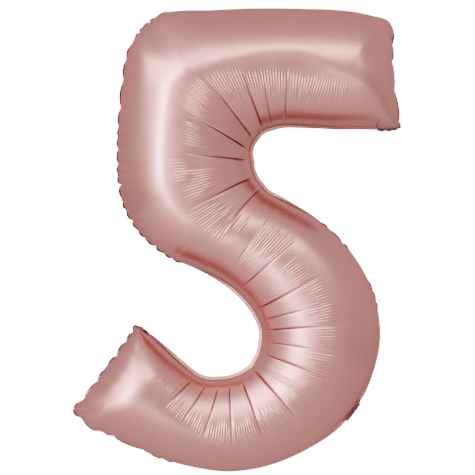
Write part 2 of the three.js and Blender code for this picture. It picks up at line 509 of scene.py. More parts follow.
@dataclass
class Figure:
    """The swollen figure: where every point of the film lies.

    The margin is flange wide along the edges and margin_station stations wide at the free ends. The tube
    is as deep as depth_share of its reach, up to most_depth. Its ends round off over bar_round, at edge A
    and at edge B, and over tail_round. Leans are in degrees from the seam plane: at stations along each
    edge, and at the bar's and the tail's free end.
    """

    outline: Outline = field(default_factory=Outline)
    flange: float = 6 * MM
    margin_station: float = 0.25
    depth_share: float = 0.79
    most_depth: float = 97 * MM
    depth_power: float = 10.0
    bar_round: tuple[float, float] = (84 * MM, 60 * MM)
    tail_round: float = 78 * MM
    hip_power: float = 2.6
    bar_hip_power: float = 1.2
    corner_station: float = 9.5
    lobe_reach: float = 11 * MM
    end_lobe_reach: float = 14 * MM
    cusp_share: float = 0.6
    bulge_loss: float = 0.6
    leans_a: tuple[tuple[float, float], ...] = (
        (0, 60), (1, 76), (3, 82), (8, 82), (9, 74), (15.5, 74), (17, 20), (18, 0), (30.5, 0),
        (33.2, 50), (34, 70),
    )
    leans_b: tuple[tuple[float, float], ...] = (
        (0, 60), (1.6, 55), (2.5, 40), (6, 20), (7, 0), (16, 0), (17.4, 35), (18.2, 74), (20.7, 74),
        (21.5, 80), (22.6, 80), (23.2, 0), (24.3, 0), (25, 80), (28.4, 76), (31, 72), (34, 70),
    )
    end_leans: tuple[float, float] = (55.0, 68.0)
    end_lean_reach: float = 25 * MM
    nub_radii: tuple[float, float] = (11 * MM, 14 * MM)
    nub_fade: float = 0.6
    nub_reach: float = 1.3
    neck_room: float = 0.42 * MM
    neck_stations: tuple[float, float] = (23.15, 24.35)
    neck_ramp: float = 0.2
    row_pitch: float = 1.2 * MM
    columns: int = 50
    inner_step: tuple[int, int] = (4, 2)
    fold_rows: tuple[float, ...] = (-1.7, -0.9, -0.35, 0, 0.35, 0.9, 1.7, 2.6)
    end_rows: tuple[float, ...] = (0, 0.264, 0.968, 2.42, 4.4)
    bend_reach: float = 0.4
    bend_inset: float = 0.05
    folds: tuple[Crease, ...] = (
        Crease(deep=(1.62, 1.0), far=(1.53, 0.92), depth=1.3 * MM),
        Crease(deep=(4.10, 0.86), far=(3.85, 0.62), depth=0.6 * MM, pillow=0.3 * MM),
        Crease(deep=(4.62, 0.83), far=(4.31, 0.60), depth=0.6 * MM, pillow=0.3 * MM),
        Crease(deep=(5.20, 0.82), far=(5.10, 0.57), depth=0.7 * MM, pillow=0.4 * MM),
        Crease(deep=(5.98, 0.96), far=(5.87, 0.55), depth=1.3 * MM, pillow=0.6 * MM),
        Crease(deep=(7.11, 0.98), far=(7.06, 0.52), depth=1.5 * MM),
        Crease(deep=(7.88, 0.97), far=(7.92, 0.50), depth=2.4 * MM, pillow=1.2 * MM),
        Crease(deep=(9.07, 0.98), far=(9.20, 0.50), depth=2.7 * MM, pillow=1.2 * MM),
        Crease(deep=(10.81, 0.97), far=(10.97, 0.49), depth=2.7 * MM, pillow=1.2 * MM),
        Crease(deep=(11.97, 0.95), far=(11.92, 0.47), depth=2.4 * MM, pillow=1.1 * MM),
        Crease(deep=(13.89, 0.97), far=(14.14, 0.36), depth=2.4 * MM, pillow=1.2 * MM),
        Crease(deep=(15.32, 0.98), far=(15.88, 0.37), depth=2 * MM, pillow=1.1 * MM),
        Crease(deep=(16.85, 0.70), far=(17.10, 0.08), depth=1 * MM),
        Crease(deep=(17.86, 0.05), far=(17.98, 0.75), depth=1.5 * MM),
        Crease(deep=(19.13, 0.04), far=(19.14, 0.68), depth=2.2 * MM, pillow=1.1 * MM),
        Crease(deep=(19.85, 0.06), far=(20.02, 0.50), depth=1.8 * MM),
        Crease(deep=(20.75, 0.06), far=(20.92, 0.60), depth=2.2 * MM, pillow=1.1 * MM),
        Crease(deep=(21.86, 0.06), far=(22.06, 0.55), depth=1.3 * MM),
        Crease(deep=(22.88, 0.07), far=(23.06, 0.70), depth=2.4 * MM, pillow=1.1 * MM),
        Crease(deep=(24.89, 0.05), far=(25.01, 0.78), depth=2.5 * MM, pillow=1.2 * MM),
        Crease(deep=(25.96, 0.07), far=(26.06, 0.76), depth=2.4 * MM, pillow=1.1 * MM),
        Crease(deep=(27.02, 0.07), far=(26.96, 0.72), depth=1.8 * MM),
        Crease(deep=(27.92, 0.08), far=(27.95, 0.65), depth=1.8 * MM),
        Crease(deep=(28.96, 0.05), far=(28.99, 0.53), depth=1.8 * MM),
        Crease(deep=(30.00, 0.06), far=(29.95, 0.46), depth=1.8 * MM),
    )
    ribs: tuple[RibPatch, ...] = (
        RibPatch((2.9, 5.95), (0.66, 0.78), (0.56, 0.80)),
        RibPatch((5.95, 7.9), (0.56, 0.76), (0.53, 0.68)),
        RibPatch((7.9, 9.1), (0.49, 0.70), (0.50, 0.72)),
        RibPatch((9.3, 10.8), (0.47, 0.62), (0.48, 0.66), height=0.85 * MM),
        RibPatch((11.1, 11.7), (0.50, 0.66), (0.50, 0.66), height=0.85 * MM),
        RibPatch((12.1, 12.9), (0.42, 0.56), (0.42, 0.56), height=0.85 * MM),
        RibPatch((12.5, 13.9), (0.52, 0.72), (0.44, 0.64), height=0.85 * MM),
        RibPatch((14.2, 15.8), (0.40, 0.62), (0.36, 0.68)),
        RibPatch((15.9, 16.3), (0.50, 0.70), (0.50, 0.66)),
        RibPatch((16.9, 17.9), (0.40, 0.72), (0.42, 0.72)),
        RibPatch((17.1, 17.9), (0.12, 0.30), (0.10, 0.28), height=0.6 * MM),
        RibPatch((18.3, 19.1), (0.40, 0.58), (0.42, 0.60), height=0.6 * MM),
        RibPatch((18.3, 19.1), (0.10, 0.24), (0.10, 0.26), height=0.55 * MM),
        RibPatch((19.2, 20.7), (0.44, 0.62), (0.42, 0.60)),
        RibPatch((20.9, 22.0), (0.42, 0.62), (0.44, 0.62)),
        RibPatch((22.1, 23.0), (0.40, 0.64), (0.38, 0.68), height=1.2 * MM),
        RibPatch((23.1, 24.9), (0.40, 0.68), (0.44, 0.72), height=1.4 * MM),
        RibPatch((23.7, 24.2), (0.14, 0.42), (0.16, 0.42), height=0.6 * MM),
        RibPatch((25.1, 26.0), (0.42, 0.74), (0.42, 0.74), height=1.2 * MM),
        RibPatch((26.1, 26.95), (0.44, 0.74), (0.44, 0.70), pitch=4.8 * MM),
        RibPatch((27.0, 27.9), (0.44, 0.70), (0.44, 0.60), pitch=4.8 * MM),
        RibPatch((28.0, 28.95), (0.42, 0.60), (0.36, 0.50), pitch=4.8 * MM),
        RibPatch((29.0, 29.95), (0.34, 0.50), (0.30, 0.42), pitch=4.8 * MM),
        RibPatch((30.2, 31.1), (0.16, 0.28), (0.18, 0.26), height=0.55 * MM),
    )
    ridges: tuple[Ridge, ...] = (
        Ridge(
            Edge.B,
            (
                (1.2, 0.86, 0),
                (2.0, 0.72, 2),
                (2.9, 0.58, 4),
                (3.9, 0.47, 5),
                (5.1, 0.38, 5),
                (6.6, 0.37, 5),
                (8.0, 0.41, 5),
                (9.1, 0.45, 5),
                (10.3, 0.35, 5),
                (12.0, 0.33, 5),
                (13.5, 0.33, 4),
                (15.5, 0.36, 2),
                (16.6, 0.36, 0),
            ),
        ),
        Ridge(
            Edge.A,
            (
                (16.4, 0.78, 0),
                (17.3, 0.77, 2),
                (19.0, 0.76, 4),
                (20.9, 0.72, 4),
                (23.0, 0.70, 4),
                (25.0, 0.76, 4),
                (26.1, 0.76, 4),
                (27.9, 0.66, 4),
                (30.0, 0.46, 3),
                (31.5, 0.40, 0),
            ),
        ),
    )
    scallops_a: tuple[Scallops, ...] = (
        Scallops((8.82, 9.25, 9.40, 9.59, 9.75, 9.91), 7 * MM),
        Scallops((10.12, 10.49, 10.97, 11.37, 11.62), 8 * MM, pinch=2 * MM),
        Scallops((11.62, 11.73, 11.89, 12.16, 12.37), 7 * MM, pinch=2 * MM),
        Scallops(
            (12.37, 12.61, 12.99, 13.28, 13.61, 13.91, 14.23, 14.56, 14.86, 15.18, 15.5), 8 * MM, pinch=2 * MM
        ),
        Scallops((33.1, 33.7, 34.3), 5 * MM),
    )
    scallops_b: tuple[Scallops, ...] = (
        Scallops((-0.4, 0.30, 0.70, 1.10, 1.60), 4.5 * MM, pinch=2 * MM, reach=14 * MM),
        Scallops((18.09, 18.32, 18.75, 18.95), 5 * MM),
        Scallops((19.80, 20.05, 20.40, 20.60), 4.5 * MM),
        Scallops((23.31, 24.15), 4 * MM),
        Scallops((28.57, 28.86, 29.30), 6 * MM),
        Scallops((29.43, 30.52), 6 * MM),
        Scallops((30.7, 30.96), 5 * MM),
        Scallops((31.39, 33.0, 34.4), 5 * MM, pinch=1.6 * MM, reach=14 * MM),
    )
    bar_end: Scallops = Scallops((-0.1, 0.11, 0.29, 0.60, 0.95, 1.1), 5 * MM, pinch=3 * MM, reach=16 * MM)
    tail_end: Scallops = Scallops(
        (-0.08, 0.05, 0.17, 0.34, 0.50, 0.66, 0.88, 1.1), 8 * MM, pinch=3.6 * MM, reach=22 * MM
    )
    bar_end_hollow: float = 5 * MM
    hollow_span: float = 1.15
    groove: float = 0.9 * MM
    valley: float = 9 * MM
    pillow_share: float = 0.65
    turn_station: float = 16.5
    scallops: dict[Edge, tuple[Scallops, ...]] = field(init=False)
    rows: np.ndarray = field(init=False)
    share: np.ndarray = field(init=False)
    stations: np.ndarray = field(init=False)
    smooth_plan: np.ndarray = field(init=False)
    plan: np.ndarray = field(init=False)
    rise: np.ndarray = field(init=False)

    def __post_init__(self) -> None:
        """Works out the grid that all surfaces use, and the margin round it."""
        self.scallops = {Edge.A: self.scallops_a, Edge.B: self.scallops_b}
        self.rows = self._row_stations()
        self.share = (1 - np.cos(np.linspace(0, math.pi, self.columns + 1))) / 2
        self.stations = self._bent_stations()
        self.smooth_plan, self.plan = self._plans()
        self.rise = self.profile()

    def _row_stations(self) -> np.ndarray:
        """Stations of the grid's rows: even between folds, and close together at folds and ends.

        The rows near a fold lie fold_rows millimetres from it, and those near the margin of a free end
        lie end_rows millimetres from it.

        Returns:
            Rising stations whose count is one more than a multiple of the inner face's row step, so that
            each fold's bottom and shoulders are rows of the coarser inner face too.
        """
        fine = self.outline.fine_stations()
        length = run_length(self.outline.middle(fine))
        step = self.inner_step[0]
        near_fold, near_end = np.array(self.fold_rows) * MM, np.array(self.end_rows) * MM
        shoulder, band = near_fold[-1], near_end[-1]
        first = np.interp(self.margin_station, fine, length)
        final = np.interp(self.outline.last - self.margin_station, fine, length)
        stops = [np.linspace(0, first, step + 1), first + near_end[1:]]
        here = first + band
        for fold in self.folds:
            key = np.interp(fold.station, fine, length)
            stops += [self._even_rows(here, key - shoulder), key + near_fold]
            here = key + shoulder
        stops += [self._even_rows(here, final - band), final - near_end[::-1][1:]]
        stops.append(np.linspace(final, length[-1], step + 1)[1:])
        return np.interp(np.concatenate(stops), length, fine)

    def _even_rows(self, start: float, end: float) -> np.ndarray:
        """Evenly spaced lengths, about a row pitch apart, whose count fits the inner face's row step.

        Args:
            start: The length to start after.
            end: The last length.

        Returns:
            Rising lengths in metres.
        """
        step = self.inner_step[0]
        count = step * max(1, round((end - start) / self.row_pitch / step))
        return np.linspace(start, end, count + 1)[1:]

    def _bent_stations(self) -> np.ndarray:
        """Stations of all grid points, with the rows near each fold bent to lie along it.

        The bend dies away in a straight line over bend_reach stations from the fold, and smoothly over
        bend_inset shares at the margin.

        Returns:
            Stations, rows by columns.
        """
        bent = np.repeat(self.rows[:, None], len(self.share), axis=1)
        inside = ease(self.share / self.bend_inset) * ease((1 - self.share) / self.bend_inset)
        for fold in self.folds:
            near = np.clip(1 - np.abs(self.rows - fold.station) / self.bend_reach, 0, 1)
            bent += near[:, None] * ((fold.line(self.share) - fold.station) * inside)[None, :]
        return bent

    def reach(self, station: np.ndarray) -> np.ndarray:
        """Distance from the middle of each rib to the nearest point of the outline, smoothed.

        Args:
            station: Stations to read.

        Returns:
            Distances in metres; near a free end, the distance a few ribs in.
        """
        end_ribs, rim_points, passes = 3, 6, 3
        middle = self.outline.middle(np.arange(self.outline.last + 1.0))
        around = np.linspace(0, self.outline.last, self.outline.last * rim_points + 1)
        rim = np.vstack([self.outline.edge(edge, around) for edge in Edge])
        reach = np.linalg.norm(middle[:, None] - rim[None, :], axis=-1).min(axis=1)
        reach[:end_ribs] = reach[end_ribs]
        reach[-end_ribs:] = reach[-end_ribs - 1]
        for _ in range(passes):
            reach[1:-1] = (reach[:-2] + 2 * reach[1:-1] + reach[2:]) / 4
        return spline(reach[:, None], station)[..., 0]

    def depth(self, station: np.ndarray) -> np.ndarray:
        """Half depth of the swollen tube, before the ends round off.

        It is a smooth minimum of w, depth_share of the reach, and m, the most depth:
        m (1 + (w / m)^-p)^(-1 / p).

        Args:
            station: Stations to read.

        Returns:
            Depths in metres.
        """
        wide = self.depth_share * self.reach(station) / self.most_depth
        return self.most_depth * (1 + wide**-self.depth_power) ** (-1 / self.depth_power)

    def _rise_from(self, edge: Edge, stations: tuple[float, float]) -> np.ndarray:
        """How far the film has risen from a stretch of one edge: a quarter of an ellipse over the distance.

        Args:
            edge: Which edge.
            stations: The stretch's first and last station.

        Returns:
            Shares from 0 to 1, rows by columns.
        """
        rim_points, blocks = 30, 40
        plan = self.smooth_plan
        first, last = stations
        rim = self.margin(edge, np.linspace(first, last, int((last - first) * rim_points) + 1), bulged=0)
        own = plan[:, 0] if edge is Edge.A else plan[:, -1]
        inside = (self.rows >= first) & (self.rows <= last)
        distance = np.full(self.stations.shape, np.inf)
        distance[inside] = np.linalg.norm(plan[inside] - own[inside, None], axis=-1)
        for block in np.array_split(np.arange(len(plan)), blocks):
            gap = plan[block][:, :, None, :] - rim[None, None, :, :]
            nearest = np.sqrt((gap * gap).sum(axis=-1)).min(axis=-1)
            distance[block] = np.minimum(distance[block], nearest)
        part = np.clip(distance / self.reach(self.stations), 0, 1)
        return np.sqrt(part * (2 - part))

    def _rise_from_ends(self) -> tuple[np.ndarray, np.ndarray]:
        """How far the film has risen from the free ends, as quarters of ellipses over the distance.

        Returns:
            Shares from 0 to 1, rows by columns: from the bar's end and from the tail's end.
        """
        here = self.outline.middle_length(self.stations)
        first, final = self._margin_lengths()
        low, high = self.bar_round
        bar = (here - first) / (low + (high - low) * self.share)
        tail = (final - here) / self.tail_round
        parts = [np.clip(part, 0, 1) for part in (bar, tail)]
        return tuple(np.sqrt(part * (2 - part)) for part in parts)

    def profile(self) -> np.ndarray:
        """Height of the tube's surface as a share of its depth.

        It is a soft minimum of how far the film has risen from edge B, from the top and from the left of
        edge A, and from the free ends, which leaves hips that run into the corners. The soft minimum of
        shares r is (sum of (r^-p - 1) + 1)^(-1/p), with a lower p and softer hips at the bar's end.

        Returns:
            Shares from 0 to 1, rows by columns.
        """
        last, corner = float(self.outline.last), self.corner_station
        stretches = ((Edge.A, (0.0, corner)), (Edge.A, (corner, last)), (Edge.B, (0.0, last)))
        bar, tail = self._rise_from_ends()
        rises = [self._rise_from(*stretch) for stretch in stretches] + [tail]
        floor, flat = 1e-6, 1e-5
        least = np.minimum.reduce([*rises, bar])
        power, soft = self.hip_power, self.bar_hip_power
        total = sum(np.maximum(rise, floor) ** -power - 1 for rise in rises) + 1
        total = total ** (soft / power) + np.maximum(bar, floor) ** -soft - 1
        return np.where(least < flat, 0, total ** (-1 / soft))

    def dish(self) -> np.ndarray:
        """How far the gathered film on the inside of each bend sinks below the smooth tube.

        It is a parabola between the ridge, where the smooth film ends, and the inner edge, so that the
        surface bends sharply at the ridge.

        Returns:
            Depths in metres, rows by columns.
        """
        total = np.zeros(self.stations.shape)
        for ridge in self.ridges:
            stations, shares, depths = (np.array(column) for column in zip(*ridge.stops))
            count = np.interp(self.stations, stations, np.arange(len(stations)))
            at = spline(shares[:, None], count)[..., 0]
            deep = spline(depths[:, None], count)[..., 0] * MM
            share = np.broadcast_to(self.share, at.shape)
            part = (share - at) / (1 - at) if ridge.inner is Edge.B else (at - share) / at
            part = np.clip(part, 0, 1)
            within = (self.stations > stations[0]) & (self.stations < stations[-1])
            total += np.where(within, np.maximum(deep, 0) * 4 * part * (1 - part), 0)
        return total

    def lean(self, edge: Edge, station: np.ndarray) -> np.ndarray:
        """How far the margin leans back from the seam plane, in radians.

        It is flat on the inside of the bends and where the neck leaves, and leans steeply elsewhere.

        Args:
            edge: Which edge.
            station: Stations to read.

        Returns:
            Angles, one to a station.
        """
        places, degrees = zip(*(self.leans_a if edge is Edge.A else self.leans_b))
        return np.radians(np.interp(station, places, degrees))

    def room(self, edge: Edge, station: np.ndarray) -> np.ndarray:
        """How far each sheet stands off further, to let the neck and valve in between.

        Args:
            edge: Which edge; the neck leaves through edge B.
            station: Stations to read.

        Returns:
            Distances in metres.
        """
        if edge is Edge.A:
            return np.zeros(np.shape(station))
        low, high = self.neck_stations
        ramp = self.neck_ramp
        return self.neck_room * ease((station - low) / ramp) * ease((high - station) / ramp)

    def gathered(self, edge: Edge, station: np.ndarray) -> np.ndarray:
        """How tightly an edge's margin is drawn together.

        Args:
            edge: Which edge.
            station: Stations to read.

        Returns:
            The lobes' own shape, up to 1 on each lobe, and 0 elsewhere.
        """
        total = np.zeros(np.shape(station))
        for group in self.scallops[edge]:
            inside = (station > group.cusps[0]) & (station < group.cusps[-1])
            total = np.maximum(total, lobes(station, group.cusps) * inside)
        return total

    def bulge(self, edge: Edge, station: np.ndarray) -> np.ndarray:
        """How far an edge's scallops stand out from the plain outline, in metres.

        Args:
            edge: Which edge.
            station: Stations to read.

        Returns:
            Distances outwards: below 0 at the cusps and above 0 on the lobes.
        """
        total = np.zeros(np.shape(station))
        for group in self.scallops[edge]:
            lobe = lobes(station, group.cusps)
            inside = (station > group.cusps[0]) & (station < group.cusps[-1])
            total += np.where(inside, group.height * (lobe - self.cusp_share), 0)
        last = self.outline.last
        return total * ease(np.minimum(station, last - station) / self.margin_station)

    def inwards(self, edge: Edge, station: np.ndarray) -> np.ndarray:
        """Directions in the seam plane from an edge into the tube, which turn along a free end's edge.

        Args:
            edge: Which edge.
            station: Stations to read.

        Returns:
            Unit x and z, one row to a station.
        """
        other = Edge.B if edge is Edge.A else Edge.A
        across = unit(self.outline.edge(other, station) - self.outline.edge(edge, station))
        last = self.outline.last
        near = ease(np.minimum(station, last - station) / self.margin_station)[..., None]
        return unit(across * (1 - near) + self.outline.inwards(edge, station) * near)

    def margin(self, edge: Edge, station: np.ndarray, width: float = 1.0, bulged: float = 1.0) -> np.ndarray:
        """Points of the margin in the seam plane.

        Args:
            edge: Which edge.
            station: Stations to read.
            width: Share of the margin's width, from 0 at its outer edge to 1 where it meets the tube.
            bulged: Share of the scallops' bulge to keep.

        Returns:
            x and z in metres.
        """
        flat = self.flange * np.cos(self.lean(edge, station)) * width
        shift = flat - self.bulge(edge, station) * (1 - self.bulge_loss * width) * bulged
        return self.outline.edge(edge, station) + self.inwards(edge, station) * shift[..., None]

    def margin_lines(self, edge: Edge, stand_off: np.ndarray) -> np.ndarray:
        """The margin's outer and middle lines along one edge, leaned back from the seam plane.

        Args:
            edge: Which edge.
            stand_off: For each row, distance from the middle of the weld; above 0 on the back side.

        Returns:
            Points, rows by 2 by 3, from the outer edge inwards.
        """
        lean = self.lean(edge, self.rows)
        column = 0 if edge is Edge.A else -1
        shift = self.end_shift(self.share)[:, column, None] * self.end_direction()
        lines = []
        for width in (0.0, 0.5):
            plan = self.margin(edge, self.rows, width) + shift
            plan = self.nubs(plan + self.inwards(edge, self.rows) * (np.sin(lean) * stand_off)[:, None])
            back = self.flange * np.sin(lean) * (1 - width) + np.cos(lean) * stand_off + self.end_back()
            lines.append(np.stack([plan[:, 0], back, plan[:, 1]], axis=-1))
        return np.stack(lines, axis=1)

    def _plans(self) -> tuple[np.ndarray, np.ndarray]:
        """Places in the seam plane of the tube's grid.

        A row runs straight from edge A's margin to edge B's, at the columns' shares. The scallops move
        the film near them outwards, which dies away exponentially with the distance from the margin.

        Returns:
            x and z, rows by columns by 2, first without the scallops and then with them.
        """
        share = self.share[None, :]
        middles = [self.margin(edge, self.stations, bulged=0) for edge in Edge]
        width = np.linalg.norm(middles[1] - middles[0], axis=-1)
        smooth = middles[0] * (1 - share[..., None]) + middles[1] * share[..., None]
        plan = smooth
        for edge, inset in ((Edge.A, share * width), (Edge.B, (1 - share) * width)):
            lobe = self.margin(edge, self.stations) - self.margin(edge, self.stations, bulged=0)
            plan = plan + lobe * np.exp(-inset / self.lobe_reach)[..., None]
        plan = plan + self.end_shift(self.share)[..., None] * self.end_direction()[:, None, :]
        return smooth, self.nubs(plan)

    def nubs(self, plan: np.ndarray) -> np.ndarray:
        """Rounds the tail's two corners into nubs.

        Round a centre just inside each corner, a point at an angle a from the corner's direction moves
        out by cos(s - a) / cos(s), with s the angle at which the circle's tangents are the corner's
        sides: this bends the two straight sides into one circle through the corner.

        Args:
            plan: x and z of any points; the last axis holds the pair.

        Returns:
            The moved points.
        """
        for edge, radius in zip(Edge, self.nub_radii):
            other = Edge.B if edge is Edge.A else Edge.A
            last = np.array([float(self.outline.last)])
            corner = self.outline.edge(edge, last)[0]
            side = unit(self.outline.edge(edge, last - 1)[0] - corner)
            inward = unit(unit(self.outline.edge(other, last)[0] - corner) + side)
            slope = math.pi / 2 - math.acos(float(side @ inward))
            gap = plan - (corner + inward * radius)
            length = np.maximum(np.linalg.norm(gap, axis=-1), 1e-9)
            angle = np.arccos(np.clip(-(gap @ inward) / length, -1, 1))
            push = np.cos(slope - np.minimum(angle, slope)) / math.cos(slope) - 1
            beside = 1 - ease((angle - slope) / self.nub_fade)
            beyond = 1 - ease(length / radius - self.nub_reach)
            plan = plan + gap * (push * beside * beyond)[..., None]
        return plan

    def end_direction(self) -> np.ndarray:
        """The direction in the seam plane out of the nearer free end.

        Returns:
            Unit x and z, one for each row.
        """
        directions = []
        for end, sign in ((0.0, 1), (float(self.outline.last), -1)):
            a, b = (self.outline.edge(edge, np.array([end]))[0] for edge in Edge)
            along = unit(b - a)
            directions.append(sign * np.array([-along[1], along[0]]))
        return np.where((self.rows < self.outline.last / 2)[:, None], directions[0], directions[1])

    def end_shift(self, share: np.ndarray) -> np.ndarray:
        """How far each row moves out with its free end's scallops, and with its leaning margin.

        The scallops die away exponentially with the distance from the end, and the bar's end is hollow
        by half a sine wave. A margin that leans back is shorter in the seam plane, so the rows behind it
        follow it outwards.

        Args:
            share: Places across the tube.

        Returns:
            Distances in metres, rows by shares.
        """
        length = self.outline.middle_length(self.rows)
        hollow = self.bar_end_hollow * np.sin(math.pi * np.clip(share * self.hollow_span, 0, 1))
        total = np.zeros((len(length), len(share)))
        ends = ((self.bar_end, length, hollow), (self.tail_end, length[-1] - length, 0))
        for group, distance, inset in ends:
            shift = group.height * (lobes(share, group.cusps) - self.cusp_share) - inset
            total += np.exp(-distance / self.end_lobe_reach)[:, None] * shift[None, :]
        for lean, distance, width in self._end_margins():
            kept = width * np.exp(-np.maximum(distance - width, 0) / self.end_lean_reach)
            total += ((1 - math.cos(lean)) * (kept - np.maximum(width - distance, 0)))[:, None]
        return total

    def _margin_lengths(self) -> np.ndarray:
        """The middle line's lengths at which the bar's margin ends and the tail's margin begins."""
        ends = np.array([self.margin_station, self.outline.last - self.margin_station])
        return self.outline.middle_length(ends)

    def _end_margins(self) -> list[tuple[float, np.ndarray, float]]:
        """The margins of the bar's and the tail's free end.

        Returns:
            For each: its lean in radians, each row's distance from the end, and its width.
        """
        length = self.outline.middle_length(self.rows)
        first, final = self._margin_lengths()
        bar, tail = np.radians(self.end_leans)
        return [(bar, length, first), (tail, length[-1] - length, length[-1] - final)]

    def end_back(self) -> np.ndarray:
        """How far each row lies behind the seam plane because its free end's margin leans back.

        Returns:
            Distances in metres, one for each row.
        """
        margins = self._end_margins()
        return sum(math.sin(lean) * np.maximum(width - distance, 0) for lean, distance, width in margins)

    def swell(self) -> np.ndarray:
        """The tube's smooth surface without folds, on the back side.

        It stands out from the seam plane by the depth times the profile, less the dish.

        Returns:
            Points, rows by columns by 3.
        """
        height = self.depth(self.stations) * self.rise - self.dish()
        return np.stack([self.plan[..., 0], height, self.plan[..., 1]], axis=-1)


# Finishes


class Nodes:
    """Short ways to add nodes and links to one material or world."""

    FACTOR = 0
    FIRST_COLOUR = 6
    SECOND_COLOUR = 7
    MIXED_COLOUR = 2

    def __init__(self, tree: bpy.types.NodeTree) -> None:
        """Takes the node tree to add to."""
        self.tree = tree

    def add(self, kind: str, **inputs: object) -> bpy.types.ShaderNode:
        """Adds a node.

        Args:
            kind: The node's type, without the "ShaderNode" at its start.
            inputs: Values for its input sockets; an underscore in a name stands for a space.

        Returns:
            The new node.
        """
        node = self.tree.nodes.new("ShaderNode" + kind)
        for name, value in inputs.items():
            node.inputs[name.replace("_", " ")].default_value = value
        return node

    def link(self, output: bpy.types.NodeSocket, target: bpy.types.NodeSocket) -> None:
        """Links two sockets."""
        self.tree.links.new(output, target)

    def noise(self, scale: float, detail: float) -> bpy.types.NodeSocket:
        """Noise on object coordinates.

        Args:
            scale: Cells to a metre.
            detail: Octaves of finer noise.

        Returns:
            The noise's factor socket.
        """
        place = self.add("TexCoord")
        noise = self.add("TexNoise", Scale=scale, Detail=detail)
        self.link(place.outputs["Object"], noise.inputs["Vector"])
        return noise.outputs["Fac"]

    def spread(
        self, factor: bpy.types.NodeSocket, low: float, high: float, start: float = 0.3, end: float = 0.7
    ) -> bpy.types.NodeSocket:
        """Maps a factor from start..end to low..high.

        Args:
            factor: The factor's socket.
            low: Result at start.
            high: Result at end.
            start: Factor that gives low.
            end: Factor that gives high.

        Returns:
            The result's socket.
        """
        node = self.tree.nodes.new("ShaderNodeMapRange")
        for name, value in (("From Min", start), ("From Max", end), ("To Min", low), ("To Max", high)):
            node.inputs[name].default_value = value
        self.link(factor, node.inputs["Value"])
        return node.outputs["Result"]

    def blend(
        self, factor: bpy.types.NodeSocket, first: tuple[float, ...], second: tuple[float, ...]
    ) -> bpy.types.NodeSocket:
        """A colour between two, by a factor from 0 to 1.

        Args:
            factor: The factor's socket.
            first: Colour at 0.
            second: Colour at 1.

        Returns:
            The colour's socket.
        """
        node = self.tree.nodes.new("ShaderNodeMix")
        node.data_type = "RGBA"
        node.inputs[self.FIRST_COLOUR].default_value = (*first, 1)
        node.inputs[self.SECOND_COLOUR].default_value = (*second, 1)
        self.link(factor, node.inputs[self.FACTOR])
        return node.outputs[self.MIXED_COLOUR]

    def bump(self, height: bpy.types.NodeSocket, distance: float) -> bpy.types.NodeSocket:
        """Turns heights from 0 to 1 into a bumped normal.

        Args:
            height: The heights' socket.
            distance: What a height of 1 stands for, in metres.

        Returns:
            The normal's socket.
        """
        node = self.add("Bump", Distance=distance, Strength=1.0)
        self.link(height, node.inputs["Height"])
        return node.outputs["Normal"]


@dataclass(frozen=True)
class Coat:
    """A made material and the record's slot that it fills."""

    material: bpy.types.Material
    slot: Slot

    def dress(self, piece: bpy.types.Object) -> None:
        """Gives a piece this material."""
        piece.data.materials.append(self.material)


def new_material(name: str) -> tuple[bpy.types.Material, Nodes, bpy.types.ShaderNode]:
    """Makes a material with nodes.

    Args:
        name: The material's name.

    Returns:
        The material, the means to add nodes to it, and its main shader.
    """
    material = bpy.data.materials.new(name)
    material.use_nodes = True
    return material, Nodes(material.node_tree), material.node_tree.nodes["Principled BSDF"]


@dataclass(frozen=True)
class FoilFinish:
    """Satin rose-gold metallised film, with painted shade where the margin gathers into lobes and along the
    creases.
    """

    name: str = "satin_foil"
    colour: tuple[float, float, float] = (0.585, 0.28, 0.259)
    other_colour: tuple[float, float, float] = (0.575, 0.267, 0.256)
    painted_shade_colour: tuple[float, float, float] = (0.17, 0.075, 0.08)
    edge_tint: tuple[float, float, float] = (0.88, 0.63, 0.64)
    roughness: tuple[float, float] = (0.31, 0.36)
    drift_scale: float = 7
    gloss_scale: float = 25
    crinkle: float = 0.02 * MM
    crinkle_scale: float = 900

    def coat(self) -> Coat:
        """Builds the film's material: colour and gloss drift softly, over a fine crinkle.

        The piece's own painted shade attribute mixes the colour with a dark painted shade colour, on the
        lobes and creases.

        Returns:
            The material with its slot.
        """
        material, nodes, shader = new_material(self.name)
        shader.inputs["Metallic"].default_value = 1
        shader.inputs["Specular Tint"].default_value = (*self.edge_tint, 1)
        drift = nodes.spread(nodes.noise(self.drift_scale, 2), 0, 1)
        smooth = nodes.blend(drift, self.colour, self.other_colour)
        # Painted shade: the attribute darkens the film towards a near-black red on the lobes and along the
        # creases.
        painted_shade = nodes.tree.nodes.new("ShaderNodeAttribute")
        painted_shade.attribute_name = PAINTED_SHADE
        tone = nodes.blend(painted_shade.outputs["Fac"], self.colour, self.painted_shade_colour)
        nodes.link(smooth, tone.node.inputs[Nodes.FIRST_COLOUR])
        nodes.link(tone, shader.inputs["Base Color"])
        gloss = nodes.spread(nodes.noise(self.gloss_scale, 3), *self.roughness)
        nodes.link(gloss, shader.inputs["Roughness"])
        nodes.link(nodes.bump(nodes.noise(self.crinkle_scale, 2), self.crinkle), shader.inputs["Normal"])
        return Coat(material, Slot.FILM)


